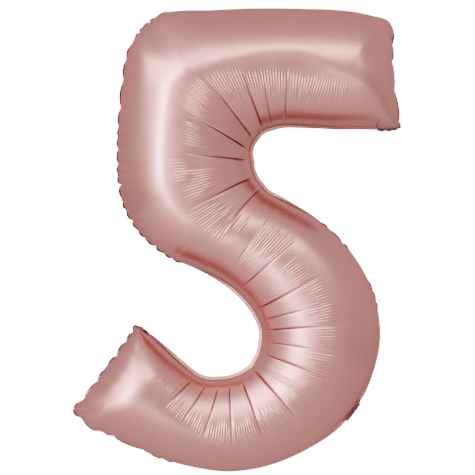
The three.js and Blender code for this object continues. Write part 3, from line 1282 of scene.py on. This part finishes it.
@dataclass(frozen=True)
class WeldFinish:
    """Film melted together under a ribbed bar, which leaves it darker and grainy."""

    name: str = "ribbed_weld"
    colour: tuple[float, float, float] = (0.3, 0.13, 0.13)
    other_colour: tuple[float, float, float] = (0.42, 0.2, 0.2)
    edge_tint: tuple[float, float, float] = (0.7, 0.4, 0.4)
    roughness: tuple[float, float] = (0.28, 0.42)
    rib_pitch: float = 1.1 * MM
    grain_per_rib: float = 0.6
    grain_height: float = 0.1 * MM

    def coat(self) -> Coat:
        """Builds the weld's material: one grain drives its colour, its gloss and its bumps.

        Returns:
            The material with its slot.
        """
        material, nodes, shader = new_material(self.name)
        shader.inputs["Metallic"].default_value = 1
        shader.inputs["Specular Tint"].default_value = (*self.edge_tint, 1)
        grain = nodes.noise(self.grain_per_rib / self.rib_pitch, 3)
        nodes.link(nodes.blend(grain, self.colour, self.other_colour), shader.inputs["Base Color"])
        nodes.link(nodes.spread(grain, *self.roughness), shader.inputs["Roughness"])
        nodes.link(nodes.bump(grain, self.grain_height), shader.inputs["Normal"])
        return Coat(material, Slot.WELD)


@dataclass(frozen=True)
class ValveFinish:
    """Milky clear film."""

    name: str = "milky_film"
    colour: tuple[float, float, float] = (0.86, 0.88, 0.9)
    see_through: tuple[float, float] = (0.3, 0.5)
    roughness: float = 0.22
    cloud_scale: float = 90
    wrinkle_scale: float = 260
    wrinkle: float = 0.1 * MM

    def coat(self) -> Coat:
        """Builds the clear film's material, a little cloudier in patches.

        Returns:
            The material with its slot.
        """
        material, nodes, shader = new_material(self.name)
        shader.inputs["Base Color"].default_value = (*self.colour, 1)
        shader.inputs["Roughness"].default_value = self.roughness
        clouds = nodes.spread(nodes.noise(self.cloud_scale, 3), *self.see_through)
        nodes.link(clouds, shader.inputs["Alpha"])
        nodes.link(nodes.bump(nodes.noise(self.wrinkle_scale, 2), self.wrinkle), shader.inputs["Normal"])
        return Coat(material, Slot.CLEAR)


# The balloon's pieces


@dataclass
class FoilSheet:
    """One of the two foil sheets: its margin and its half of the swollen tube.

    The film is the thickness of the margin, and the wall that of the swollen tube, which is made thicker
    than the film so that no groove comes through its inner face. Each rib's ends vary by up to
    crisp_spread at the outside of the bend and within loose_spread at the inside.
    """

    figure: Figure
    side: Side
    finish: Coat
    film: float = 0.25 * MM
    wall: float = 0.9 * MM
    gap: float = 0.1 * MM
    flat_size: tuple[float, float] = (0.68, 0.94)
    flat_area: float = 0.45
    seed: int = 5
    crease_spread: tuple[float, float] = (0.85, 1.15)
    crisp_spread: tuple[float, float] = (-0.012, 0.012)
    loose_spread: tuple[float, float] = (-0.05, 0.03)
    height_spread: tuple[float, float] = (0.7, 1.25)
    rib_power: float = 1.3
    crisp_end: float = 0.015
    loose_end: float = 0.04
    pinch_width: float = 3.5 * MM
    end_pinch_width: float = 4 * MM
    pinch_rise: float = 0.15
    # Painted shade: its fall-off from the margin, and the width and darkness of the dark line along each
    # crease.
    shade_fall: tuple[float, ...] = (1.0, 1.0, 0.75, 0.3)
    crease_shade_width: float = 0.63 * MM
    darkest_crease_shade: float = 0.7
    crease_shade_depth: float = 3 * MM
    along: np.ndarray = field(init=False)

    def __post_init__(self) -> None:
        """Works out the length along the smooth tube at every grid point."""
        self.along = run_length(self.figure.swell())

    def _from_fold(self, fold: Crease) -> np.ndarray:
        """Distance of every grid point from a fold, along the tube."""
        return np.abs(self.along - self.along[np.abs(self.figure.rows - fold.station).argmin()])

    def _folded(self, base: np.ndarray, normal: np.ndarray) -> np.ndarray:
        """The tube with its creases, ribs and pinches pressed in along its normals.

        A crease is a sharp groove, depth times exp(-distance / groove), in a shallow valley, pillow times
        pillow_share times exp(-distance / valley), so that the film between two creases stands up.

        Args:
            base: The smooth tube, rows by columns by 3.
            normal: Its outward unit normals.

        Returns:
            The tube's points, rows by columns by 3.
        """
        figure = self.figure
        rng = np.random.default_rng(self.seed + self.side.value)
        height = np.zeros(self.along.shape)
        for fold in figure.folds:
            depth = fold.depth * rng.uniform(*self.crease_spread)
            distance = self._from_fold(fold)
            fade = fold.fade(figure.share)
            height -= depth * fade * np.exp(-distance / figure.groove)
            height -= fold.pillow * figure.pillow_share * fade * np.exp(-distance / figure.valley)
        for patch in figure.ribs:
            height += self._rib_heights(patch, rng)
        height += self._pinches(base)
        return base + normal * height[..., None]

    def _rib_heights(self, patch: RibPatch, rng: np.random.Generator) -> np.ndarray:
        """Heights of one patch of ribs: a raised cosine along the tube, to the power rib_power.

        Args:
            patch: The patch.
            rng: Source of each rib's own length and height.

        Returns:
            Heights, rows by columns.
        """
        figure = self.figure
        first, last = np.searchsorted(figure.rows, patch.stations)
        part = np.clip((figure.rows - patch.stations[0]) / (patch.stations[1] - patch.stations[0]), 0, 1)
        low = patch.shares_first[0] + (patch.shares_last[0] - patch.shares_first[0]) * part
        high = patch.shares_first[1] + (patch.shares_last[1] - patch.shares_first[1]) * part
        middle = np.abs(figure.share - (low.mean() + high.mean()) / 2).argmin()
        turn = (self.along[:, middle] - self.along[first, middle]) / patch.pitch
        count = int(turn[last - 1]) + 2
        number = np.clip(np.floor(turn).astype(int), 0, count - 1)
        row = np.arange(len(turn))
        inside = (row >= first) & (row < last)
        crisp = rng.uniform(*self.crisp_spread, count)[number]
        loose = rng.uniform(*self.loose_spread, count)[number]
        tall = patch.height * rng.uniform(*self.height_spread, count)[number] * inside
        if patch.stations[0] < figure.turn_station:
            start, end = low + crisp, high + loose
            start_soft, end_soft = self.crisp_end, self.loose_end
        else:
            start, end = low - loose, high + crisp
            start_soft, end_soft = self.loose_end, self.crisp_end
        wave = (0.5 - 0.5 * np.cos(2 * math.pi * turn)) ** self.rib_power
        share = figure.share[None, :]
        reach = ease((share - start[:, None]) / start_soft) * ease((end[:, None] - share) / end_soft)
        return (tall * wave)[:, None] * reach

    def _pinches(self, base: np.ndarray) -> np.ndarray:
        """Heights of the short grooves that start at the margin's cusps.

        Each is its pinch times exp(-a / w - b / r), with a the distance beside the cusp, b the distance
        in from the margin, w the pinch's width and r its reach.

        Args:
            base: The smooth tube, rows by columns by 3.

        Returns:
            Heights below 0, rows by columns.
        """
        figure, along = self.figure, self.along
        across = run_length(base, axis=1)
        height = np.zeros(along.shape)
        for edge, inset in ((Edge.A, across), (Edge.B, across[:, -1:] - across)):
            arc = figure.outline.arc(edge, figure.stations)
            for group in figure.scallops[edge]:
                for cusp in group.cusps:
                    away = np.abs(arc - figure.outline.arc(edge, np.array([cusp])))
                    height -= group.pinch * np.exp(-away / self.pinch_width - inset / group.reach)
        width = across[:, -1:]
        for group, inset in ((figure.bar_end, along), (figure.tail_end, along[-1:] - along)):
            for cusp in group.cusps:
                away = np.abs(figure.share[None, :] - cusp) * width
                height -= group.pinch * np.exp(-away / self.end_pinch_width - inset / group.reach)
        return height * ease(figure.rise / self.pinch_rise)

    def surfaces(self) -> tuple[np.ndarray, np.ndarray]:
        """The sheet's two faces.

        The inner face lies one thickness inside the outer one: along the normals where the tube is
        swollen, and straight towards the seam plane in the margin.

        Returns:
            The outer face, rows by columns by 3, with two more columns of margin along each edge, and
            the inner face, which has one of every few rows and columns.
        """
        thick_from, room_from = 4, 0.97
        figure = self.figure
        base = figure.swell()
        normal = unit(np.cross(np.gradient(base, axis=0), np.gradient(base, axis=1)))
        normal *= np.sign(normal[..., 1].sum())
        tube = self._folded(base, normal)
        swollen = np.minimum(figure.rise * thick_from, 1)[..., None]
        thickness = self.film + (self.wall - self.film) * swollen
        inner_tube = tube - unit(normal * swollen + BACKWARDS * (1 - swollen)) * thickness
        near_edge = ease((figure.share - room_from) / (1 - room_from))
        room = figure.room(Edge.B, figure.rows)[:, None] * near_edge
        offset = (self.gap + self.film + room)[..., None] * BACKWARDS
        back = figure.end_back()[:, None, None] * BACKWARDS
        tube = (tube + offset) * (1, self.side.value, 1) + back
        inner_tube = (inner_tube + offset) * (1, self.side.value, 1) + back
        faces = []
        for middle, thick in ((tube, self.film), (inner_tube, 0)):
            sides = []
            for edge in Edge:
                stand_off = self.gap + thick + figure.room(edge, figure.rows)
                sides.append(figure.margin_lines(edge, stand_off * self.side.value))
            faces.append(np.concatenate([sides[0], middle, sides[1][:, ::-1]], axis=1))
        row_step, column_step = figure.inner_step
        return faces[0], faces[1][::row_step, ::column_step]

    def _painted_shade(self) -> np.ndarray:
        """Painted shade at each point: dark crescents on the scallops' lobes, where the leaning margin lies
        in shade, and dark lines along the creases, where shade falls into the folds.

        The lobes' shade falls off over the first columns or rows from the margin, by shade_fall. A
        crease adds its fade times exp(-distance / crease_shade_width), more on a deeper one.

        Returns:
            Shares from 0 to 1, rows by columns of the outer face.
        """
        figure = self.figure
        total = np.zeros((len(figure.rows), len(figure.share) + 2 * MARGIN_COLUMNS))
        for edge, first, step in ((Edge.A, 0, 1), (Edge.B, -1, -1)):
            for count, part in enumerate(self.shade_fall):
                total[:, first + step * count] = figure.gathered(edge, figure.rows) * part
        for group, first, step in ((figure.bar_end, 0, 1), (figure.tail_end, -1, -1)):
            lobe = np.pad(lobes(figure.share, group.cusps), MARGIN_COLUMNS, mode="edge")
            for count, part in enumerate(self.shade_fall):
                row = first + step * count
                total[row] = np.maximum(total[row], lobe * part)
        tube = total[:, MARGIN_COLUMNS:-MARGIN_COLUMNS]
        for fold in figure.folds:
            line = fold.fade(figure.share) * np.exp(-self._from_fold(fold) / self.crease_shade_width)
            np.maximum(tube, line * min(self.darkest_crease_shade, fold.depth / self.crease_shade_depth), out=tube)
        return total

    def build(self) -> bpy.types.Object:
        """Makes the sheet's closed mesh and says what it is.

        Returns:
            The finished piece.
        """
        label = "front" if self.side is Side.FRONT else "back"
        row_step, column_step = self.figure.inner_step
        piece = closed_sheet(f"{label}_foil_sheet", *self.surfaces(), row_step, column_step)
        # Painted shade, one value to a point, which the film's material uses to darken its colour.
        painted_shade = self._painted_shade()
        values = np.concatenate([painted_shade.ravel(), painted_shade[::row_step, ::column_step].ravel()])
        layer = piece.data.attributes.new(PAINTED_SHADE, "FLOAT", "POINT")
        layer.data.foreach_set("value", values.astype(np.float32))
        self.finish.dress(piece)
        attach(piece, "envelope")
        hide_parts(f"{label}_foil_panel")
        return piece


@dataclass
class SeamWeld:
    """The weld between the two margins: a thin band with a small bead outside the film's cut edge.

    It is open for half_gap to each side of the neck. The bead's section is bead_height high to each side
    of the seam plane, from bead_start to bead_out past the cut edge, with its shoulder at bead_shoulder.
    """

    figure: Figure
    finish: Coat
    half_gap: float = 20.3 * MM
    half_thickness: float = 0.09 * MM
    neck_station: float = 23.75
    overlap: float = 0.04
    bead_height: float = 0.3 * MM
    bead_start: float = 0.04 * MM
    bead_shoulder: float = 0.3 * MM
    shoulder_share: float = 0.8
    bead_out: float = 0.45 * MM

    def _lines(self) -> tuple[np.ndarray, np.ndarray, np.ndarray]:
        """The band's outer and inner line round the margin, from one side of the neck to the other.

        Returns:
            The outer points, the inner points, and half of the band's thickness at each.
        """
        figure = self.figure
        plan = figure.plan
        back = np.repeat(figure.end_back()[:, None], plan.shape[1], axis=1)
        middle = np.stack([plan[..., 0], back, plan[..., 1]], axis=-1)
        sides = [figure.margin_lines(edge, np.zeros(len(figure.rows))) for edge in Edge]
        grid = np.concatenate([sides[0], middle, sides[1][:, ::-1]], axis=1)
        rows, columns = grid.shape[:2]
        row, column = np.arange(rows), np.arange(columns)
        down, across = np.full(rows - 1, columns - 1), np.full(columns - 1, rows - 1)
        ring_row = np.concatenate([row, across, row[-2::-1], np.zeros(columns - 2, int)])
        ring_column = np.concatenate([np.zeros(rows, int), column[1:], down, column[-2:0:-1]])
        deep_row, deep_column = figure.inner_step[0], MARGIN_COLUMNS
        inner_row = np.clip(ring_row, deep_row, rows - 1 - deep_row)
        inner_column = np.clip(ring_column, deep_column, columns - 1 - deep_column)
        outer = grid[ring_row, ring_column]
        inner = grid[inner_row, inner_column]
        inner = inner + (outer - inner) * self.overlap
        room = figure.room(Edge.B, figure.rows)[ring_row] * (ring_column >= columns - MARGIN_COLUMNS)
        thickness = self.half_thickness + room
        arc = figure.outline.arc(Edge.B, figure.rows[ring_row])
        neck = figure.outline.arc(Edge.B, np.array([self.neck_station]))[0]
        open_here = (np.abs(arc - neck) < self.half_gap) & (ring_column == columns - 1)
        start = np.flatnonzero(open_here)[-1] + 1
        keep = np.roll(np.arange(len(outer)), -start)[: len(outer) - open_here.sum()]
        return outer[keep], inner[keep], thickness[keep, None]

    def build(self) -> bpy.types.Object:
        """Sweeps the band's section along its two lines.

        Each ring joins an outer point to its inner point above and below the seam plane, and the bead
        stands past the outer point.

        Returns:
            The finished piece.
        """
        outer, inner, thickness = self._lines()
        out = unit(outer - inner)
        up = unit(np.cross(np.gradient(outer, axis=0), out))
        head = up * (self.bead_height + (thickness - self.half_thickness))
        upper = (
            inner + up * thickness,
            outer + up * thickness,
            outer + out * self.bead_start + head,
            outer + out * self.bead_shoulder + head * self.shoulder_share,
        )
        lower = (
            outer + out * self.bead_shoulder - head * self.shoulder_share,
            outer + out * self.bead_start - head,
            outer - up * thickness,
            inner - up * thickness,
        )
        rings = np.stack([*upper, outer + out * self.bead_out, *lower], axis=1)
        piece = tube_object("seam_weld_band", rings)
        self.finish.dress(piece)
        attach(piece, "envelope")
        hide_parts("seam_weld")
        return piece


@dataclass(frozen=True)
class NeckLine:
    """The line that the neck's layers follow: out through the margin, round the fold, then backwards.

    The hinge is the neck's joint in the frame, and along is its axis. The neck's crumples are smooth noise
    of crumple_height, with cells of crumple_cells across and along the neck, which sets in behind the bend.
    """

    hinge: tuple[float, ...] = tuple(NECK_FOLD["pos_m"])
    along: tuple[float, ...] = tuple(NECK_FOLD["axis"])
    bend: float = 2.2 * MM
    crumple_height: float = 0.9 * MM
    crumple_cells: tuple[float, float] = (7 * MM, 13 * MM)
    crumple_start: float = 4 * MM
    crumple_ramp: float = 30 * MM
    seed: int = 8

    @property
    def outwards(self) -> tuple[float, float, float]:
        """The direction in the seam plane from the hinge away from the balloon, square to its axis."""
        return (-self.along[2], 0.0, self.along[0])

    @property
    def bend_length(self) -> float:
        """Length of the quarter turn round the fold."""
        return self.bend * math.pi / 2

    def crumple(self, across: np.ndarray, length: np.ndarray) -> np.ndarray:
        """How far the neck waves out of its plane: smooth noise that grows away from the fold.

        Args:
            across: Distance along the fold line from the neck's middle.
            length: Length along the line from the start of its bend.

        Returns:
            Offsets in metres, one to each place.
        """
        wide, long = self.crumple_cells
        wave = ripple(across / wide, length / long, self.seed)
        past = length - self.bend_length - self.crumple_start
        return self.crumple_height * wave * ease(past / self.crumple_ramp)

    def points(self, across: np.ndarray, length: np.ndarray, offset: np.ndarray) -> np.ndarray:
        """Places on one layer.

        Before length 0 the line runs straight outwards, then a quarter of a circle turns it backwards.

        Args:
            across: Distance along the fold line from the neck's middle.
            length: Length along the line from the start of its bend.
            offset: Distance from the middle layer, above 0 towards the front ply's side.

        Returns:
            Points, one to each place.
        """
        turn = np.clip(length / self.bend, 0, math.pi / 2)
        before, after = np.minimum(length, 0), np.maximum(length - self.bend_length, 0)
        offset = offset + self.crumple(across, length)
        out = self.bend * (np.sin(turn) - 1) + before + offset * np.sin(turn)
        back = self.bend * (1 - np.cos(turn)) + after - offset * np.cos(turn)
        return (
            np.array(self.hinge)
            + np.array(self.along) * across[..., None]
            + np.array(self.outwards) * out[..., None]
            + BACKWARDS * back[..., None]
        )

    def bend_with_neck(self, piece: bpy.types.Object) -> None:
        """Bakes a piece's placement into its own mesh, leaving it at the world's origin.

        Args:
            piece: The piece, which reaches from the envelope into the neck.
        """
        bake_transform(piece)


@dataclass
class FillingNeck:
    """The neck's two foil plies and the welds down its sides.

    The lap is the stretch within the margin. The plies lie inner from the middle, and stand apart by up
    to mouth_opening more over the last mouth_ramp of the neck. The side welds keep weld_gap to each ply
    and weld_inset to its edge.
    """

    line: NeckLine
    film: Coat
    weld: Coat
    width: float = 40 * MM
    lap: float = 4 * MM
    length: float = 72 * MM
    mouth_radius: float = 5 * MM
    weld_width: float = 5 * MM
    inner: float = 0.3 * MM
    thickness: float = 0.2 * MM
    mouth_opening: float = 1.2 * MM
    mouth_ramp: float = 22 * MM
    weld_gap: float = 0.02 * MM
    weld_inset: float = 0.2 * MM
    row_pitch: float = 1.2 * MM
    columns: int = 33
    weld_columns: int = 5
    arc_rows: int = 9
    lap_rows: int = 4

    def _stops(self, end: float) -> np.ndarray:
        """Lengths of the rows along the line, closer together round the bend.

        Args:
            end: The last length.

        Returns:
            Rising lengths, from the lap's start to the end.
        """
        bend = np.linspace(0, self.line.bend_length, self.arc_rows)
        before = np.linspace(-self.lap, 0, self.lap_rows + 1)[:-1]
        after = np.linspace(bend[-1], end, int((end - bend[-1]) / self.row_pitch))[1:]
        return np.concatenate([before, bend, after])

    def _ply(self, name: str, side: float, node: str) -> bpy.types.Object:
        """One foil ply: a strip with rounded corners at its mouth, where the plies stand apart.

        Args:
            name: The piece's name.
            side: 1 for the front ply and -1 for the back ply.
            node: The CAD node that it stands for.

        Returns:
            The finished piece.
        """
        end = self.length + self.line.bend_length - self.line.bend
        quarter = np.linspace(0, math.pi / 2, self.arc_rows)
        rounding = end - self.mouth_radius * (1 - np.sin(quarter))
        length = np.concatenate([self._stops(end - self.mouth_radius)[:-1], rounding])
        rounded = np.clip((length - end) / self.mouth_radius + 1, 0, 1)
        half = self.width / 2 - self.mouth_radius * (1 - np.sqrt(np.maximum(1 - rounded**2, 0)))
        across = half[:, None] * np.linspace(-1, 1, self.columns)[None, :]
        length = np.repeat(length[:, None], self.columns, axis=1)
        part = 1 - (across / (self.width / 2 - self.weld_width)) ** 2
        near_mouth = ease((length - end + self.mouth_ramp) / self.mouth_ramp)
        opening = self.mouth_opening * np.maximum(part, 0) * near_mouth
        layers = [
            self.line.points(across, length, side * (self.inner + opening + thick))
            for thick in (self.thickness, 0)
        ]
        piece = closed_sheet(name, *layers, 1, 1)
        self.film.dress(piece)
        self.line.bend_with_neck(piece)
        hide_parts(node)
        return piece

    def _side_weld(self, name: str, side: float, node: str) -> bpy.types.Object:
        """The weld down one side of the neck: a thin strip between the plies.

        Args:
            name: The piece's name.
            side: 1 for the lower side and -1 for the upper one.
            node: The CAD node that it stands for.

        Returns:
            The finished piece.
        """
        length = self._stops(self.length - self.mouth_radius)
        edge = self.width / 2
        across = side * np.linspace(edge - self.weld_width, edge - self.weld_inset, self.weld_columns)
        across, length = np.meshgrid(across, length)
        half = self.inner - self.weld_gap
        layers = [self.line.points(across, length, np.full(across.shape, d)) for d in (half, -half)]
        piece = closed_sheet(name, *layers, 1, 1)
        self.weld.dress(piece)
        self.line.bend_with_neck(piece)
        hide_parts(node)
        return piece

    def build(self) -> list[bpy.types.Object]:
        """Makes the neck's four pieces.

        Returns:
            The pieces.
        """
        return [
            self._ply("neck_front_film", 1, "neck_front_ply"),
            self._ply("neck_back_film", -1, "neck_back_ply"),
            self._side_weld("neck_upper_side_weld", -1, "neck_upper_weld"),
            self._side_weld("neck_lower_side_weld", 1, "neck_lower_weld"),
        ]


@dataclass
class Valve:
    """The flat valve: two plies of clear film from inside the balloon into the neck, and their seals.

    Inside the balloon the plies hang free in the gas and wave together: smooth noise of wave_height, with
    cells of wave_cells across and along the valve, which sets in behind the seals.
    """

    line: NeckLine
    film: Coat
    weld: Coat
    width: float = 29 * MM
    inside: float = 112 * MM
    in_neck: float = 50 * MM
    inner: float = 0.05 * MM
    thickness: float = 0.12 * MM
    seal: tuple[float, float] = (0.18 * MM, 0.28 * MM)
    seal_length: float = 5.5 * MM
    seal_inset: float = 0.1 * MM
    columns: int = 17
    rows: tuple[int, int, int] = (71, 9, 41)
    seal_rows: int = 6
    wave_height: float = 1.5 * MM
    wave_cells: tuple[float, float] = (15 * MM, 19 * MM)
    wave_start: float = 9 * MM
    wave_ramp: float = 25 * MM
    seed: int = 3

    def _film(self, side: float) -> bpy.types.Object:
        """One clear ply, which waves slightly where it hangs free in the gas.

        Args:
            side: 1 for the front ply and -1 for the back ply.

        Returns:
            The finished piece.
        """
        bend = self.line.bend_length
        rows_inside, rows_round, rows_in_neck = self.rows
        before = np.linspace(-self.inside, 0, rows_inside)[:-1]
        after = np.linspace(bend, self.in_neck, rows_in_neck)[1:]
        length = np.concatenate([before, np.linspace(0, bend, rows_round), after])
        across = np.linspace(-self.width / 2, self.width / 2, self.columns)
        across, length = np.meshgrid(across, length)
        wide, long = self.wave_cells
        wave = self.wave_height * ripple(across / wide, length / long, self.seed)
        wave = wave * ease((-length - self.wave_start) / self.wave_ramp)
        layers = [
            self.line.points(across, length, side * (self.inner + thick) + wave)
            for thick in (self.thickness, 0)
        ]
        label = "front" if side > 0 else "back"
        piece = closed_sheet(f"valve_{label}_clear_film", *layers, 1, 1)
        self.film.dress(piece)
        self.line.bend_with_neck(piece)
        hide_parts(f"valve_{label}_film", f"neck_valve_{label}_film")
        return piece

    def _seal(self, side: float) -> bpy.types.Object:
        """The weld that holds one clear ply to the film beside it, within the margin.

        Args:
            side: 1 for the front ply's seal and -1 for the back ply's.

        Returns:
            The finished piece.
        """
        length = np.linspace(-self.seal_length, -self.seal_inset, self.seal_rows)
        across = np.linspace(-self.width / 2, self.width / 2, self.columns)
        across, length = np.meshgrid(across, length)
        layers = [self.line.points(across, length, np.full(across.shape, side * d)) for d in self.seal[::-1]]
        label = "front" if side > 0 else "back"
        piece = closed_sheet(f"valve_{label}_seal_strip", *layers, 1, 1)
        self.weld.dress(piece)
        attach(piece, "envelope")
        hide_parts(f"valve_{label}_seal")
        return piece

    def build(self) -> list[bpy.types.Object]:
        """Makes the valve's four pieces.

        Returns:
            The pieces.
        """
        return [self._film(1), self._film(-1), self._seal(1), self._seal(-1)]


# The studio


class Tint(Enum):
    """The colours of the lights."""

    COOL = (1.0, 0.985, 1.05)
    WARM = (1.0, 0.985, 0.95)


@dataclass(frozen=True)
class Softbox:
    """A rectangular light that faces the balloon's middle.

    The azimuth is in degrees to the right of the line from the balloon to the camera, the elevation in
    degrees above the horizon, the size is width and height, and the radiance is its face's brightness.
    """

    name: str
    azimuth: float
    elevation: float
    size: tuple[float, float]
    radiance: float
    tint: Tint
    distance: float = 3.0

    def build(self) -> None:
        """Adds the light, which the camera doesn't see."""
        data = bpy.data.lights.new(self.name, "AREA")
        data.shape = "RECTANGLE"
        data.size, data.size_y = self.size
        data.energy = self.radiance * math.pi * self.size[0] * self.size[1]
        data.color = self.tint.value
        light = bpy.data.objects.new(self.name, data)
        bpy.context.scene.collection.objects.link(light)
        turn, rise = math.radians(self.azimuth), math.radians(self.elevation)
        towards = Vector((math.sin(turn) * math.cos(rise), -math.cos(turn) * math.cos(rise), math.sin(rise)))
        low, high = CAD_BOX
        light.location = (low + high) / 2 + towards * self.distance
        light.rotation_mode = "QUATERNION"
        light.rotation_quaternion = towards.to_track_quat("Z", "Y")
        light.visible_camera = False


@dataclass
class Studio:
    """The camera, the lights and the pale floor.

    The camera sees view_width metres at the balloon, and its aim lies to the right of the balloon's
    middle and above it. The surroundings go from low_tone to high_tone between the heights of fade, on a
    scale from -1 straight down to 1 straight up.
    """

    distance: float = 4.0
    view_width: float = 0.8766125
    aim: tuple[float, float] = (-0.6 * MM, 4.3 * MM)
    sensor: float = 36.0
    floor_height: float = -1.15
    floor_size: tuple[float, float] = (3.2, 3.2)
    floor_tones: tuple[tuple[float, float, float], ...] = ((0.7, 0.69, 0.69), (0.66, 0.65, 0.65))
    floor_roughness: float = 0.8
    low_tone: tuple[float, float, float] = (0.52, 0.48, 0.47)
    high_tone: tuple[float, float, float] = (0.86, 0.825, 0.815)
    fade: tuple[float, float] = (-0.8, 0.25)
    background: float = 8
    softboxes: tuple[Softbox, ...] = (
        Softbox("key", -31, 5, (0.9, 1.5), 11, Tint.COOL),
        Softbox("upper_left", -41, 27, (2.3, 0.95), 5.2, Tint.COOL),
        Softbox("upper", 4, 32, (2.1, 0.8), 4.5, Tint.WARM),
        Softbox("lower_left", -20, -21, (0.9, 0.8), 6.5, Tint.COOL),
        Softbox("lower", 14, -24, (1.6, 0.6), 1.3, Tint.WARM),
    )

    def camera(self) -> None:
        """Adds the camera, level with the balloon's middle and square to its seam plane."""
        low, high = CAD_BOX
        data = bpy.data.cameras.new("camera")
        data.sensor_width = self.sensor
        data.lens = self.sensor * self.distance / self.view_width
        camera = bpy.data.objects.new("camera", data)
        bpy.context.scene.collection.objects.link(camera)
        middle = (low + high) / 2
        camera.location = (middle.x + self.aim[0], -self.distance, middle.z + self.aim[1])
        camera.rotation_euler = (math.pi / 2, 0, 0)
        bpy.context.scene.camera = camera

    def world(self) -> None:
        """Sets a white background for the camera and pale surroundings, darker below, for all else."""
        world = bpy.data.worlds.new("studio")
        bpy.context.scene.world = world
        world.use_nodes = True
        nodes = Nodes(world.node_tree)
        place = nodes.add("TexCoord")
        height = nodes.add("SeparateXYZ")
        nodes.link(place.outputs["Generated"], height.inputs[0])
        rise = nodes.spread(height.outputs["Z"], 0, 1, *self.fade)
        around = nodes.add("Background")
        nodes.link(nodes.blend(rise, self.low_tone, self.high_tone), around.inputs["Color"])
        white = nodes.add("Background", Color=(1, 1, 1, 1), Strength=self.background)
        path = nodes.add("LightPath")
        mix = nodes.add("MixShader")
        nodes.link(path.outputs["Is Camera Ray"], mix.inputs[0])
        nodes.link(around.outputs[0], mix.inputs[1])
        nodes.link(white.outputs[0], mix.inputs[2])
        nodes.link(mix.outputs[0], world.node_tree.nodes["World Output"].inputs["Surface"])

    def floor(self) -> None:
        """Lays a pale floor well below the balloon."""
        width, depth = (side / 2 for side in self.floor_size)
        corners = [(-width, -depth), (width, -depth), (width, depth), (-width, depth)]
        points = np.array([(x, y, self.floor_height) for x, y in corners])
        floor = mesh_object("studio_floor", points, [np.array([[0, 1, 2, 3]])])
        material, nodes, shader = new_material("studio_floor")
        shader.inputs["Roughness"].default_value = self.floor_roughness
        tone = nodes.blend(nodes.spread(nodes.noise(3, 2), 0, 1), *self.floor_tones)
        nodes.link(tone, shader.inputs["Base Color"])
        floor.data.materials.append(material)

    def build(self) -> None:
        """Adds everything and sets how bright tones are shown."""
        self.camera()
        self.world()
        self.floor()
        for softbox in self.softboxes:
            softbox.build()
        bpy.context.scene.view_settings.view_transform = "AgX"
        bpy.context.scene.view_settings.look = "AgX - Medium High Contrast"


def main() -> None:
    """Builds the balloon piece by piece and reports each one."""
    logging.basicConfig(level=logging.INFO, format="%(message)s")
    figure = Figure()
    log.info("grid: %d rows, %d columns", *figure.stations.shape)
    film = FoilFinish().coat()
    weld = WeldFinish().coat()
    clear = ValveFinish().coat()
    line = NeckLine()
    pieces = [FoilSheet(figure, side, film).build() for side in Side]
    pieces.append(SeamWeld(figure, weld).build())
    pieces += FillingNeck(line, film, weld).build()
    pieces += Valve(line, clear, weld).build()
    for piece in pieces:
        log.info("%s: %d faces", piece.name, len(piece.data.polygons))
    Studio().build()


if __name__ == "__main__":
    main()
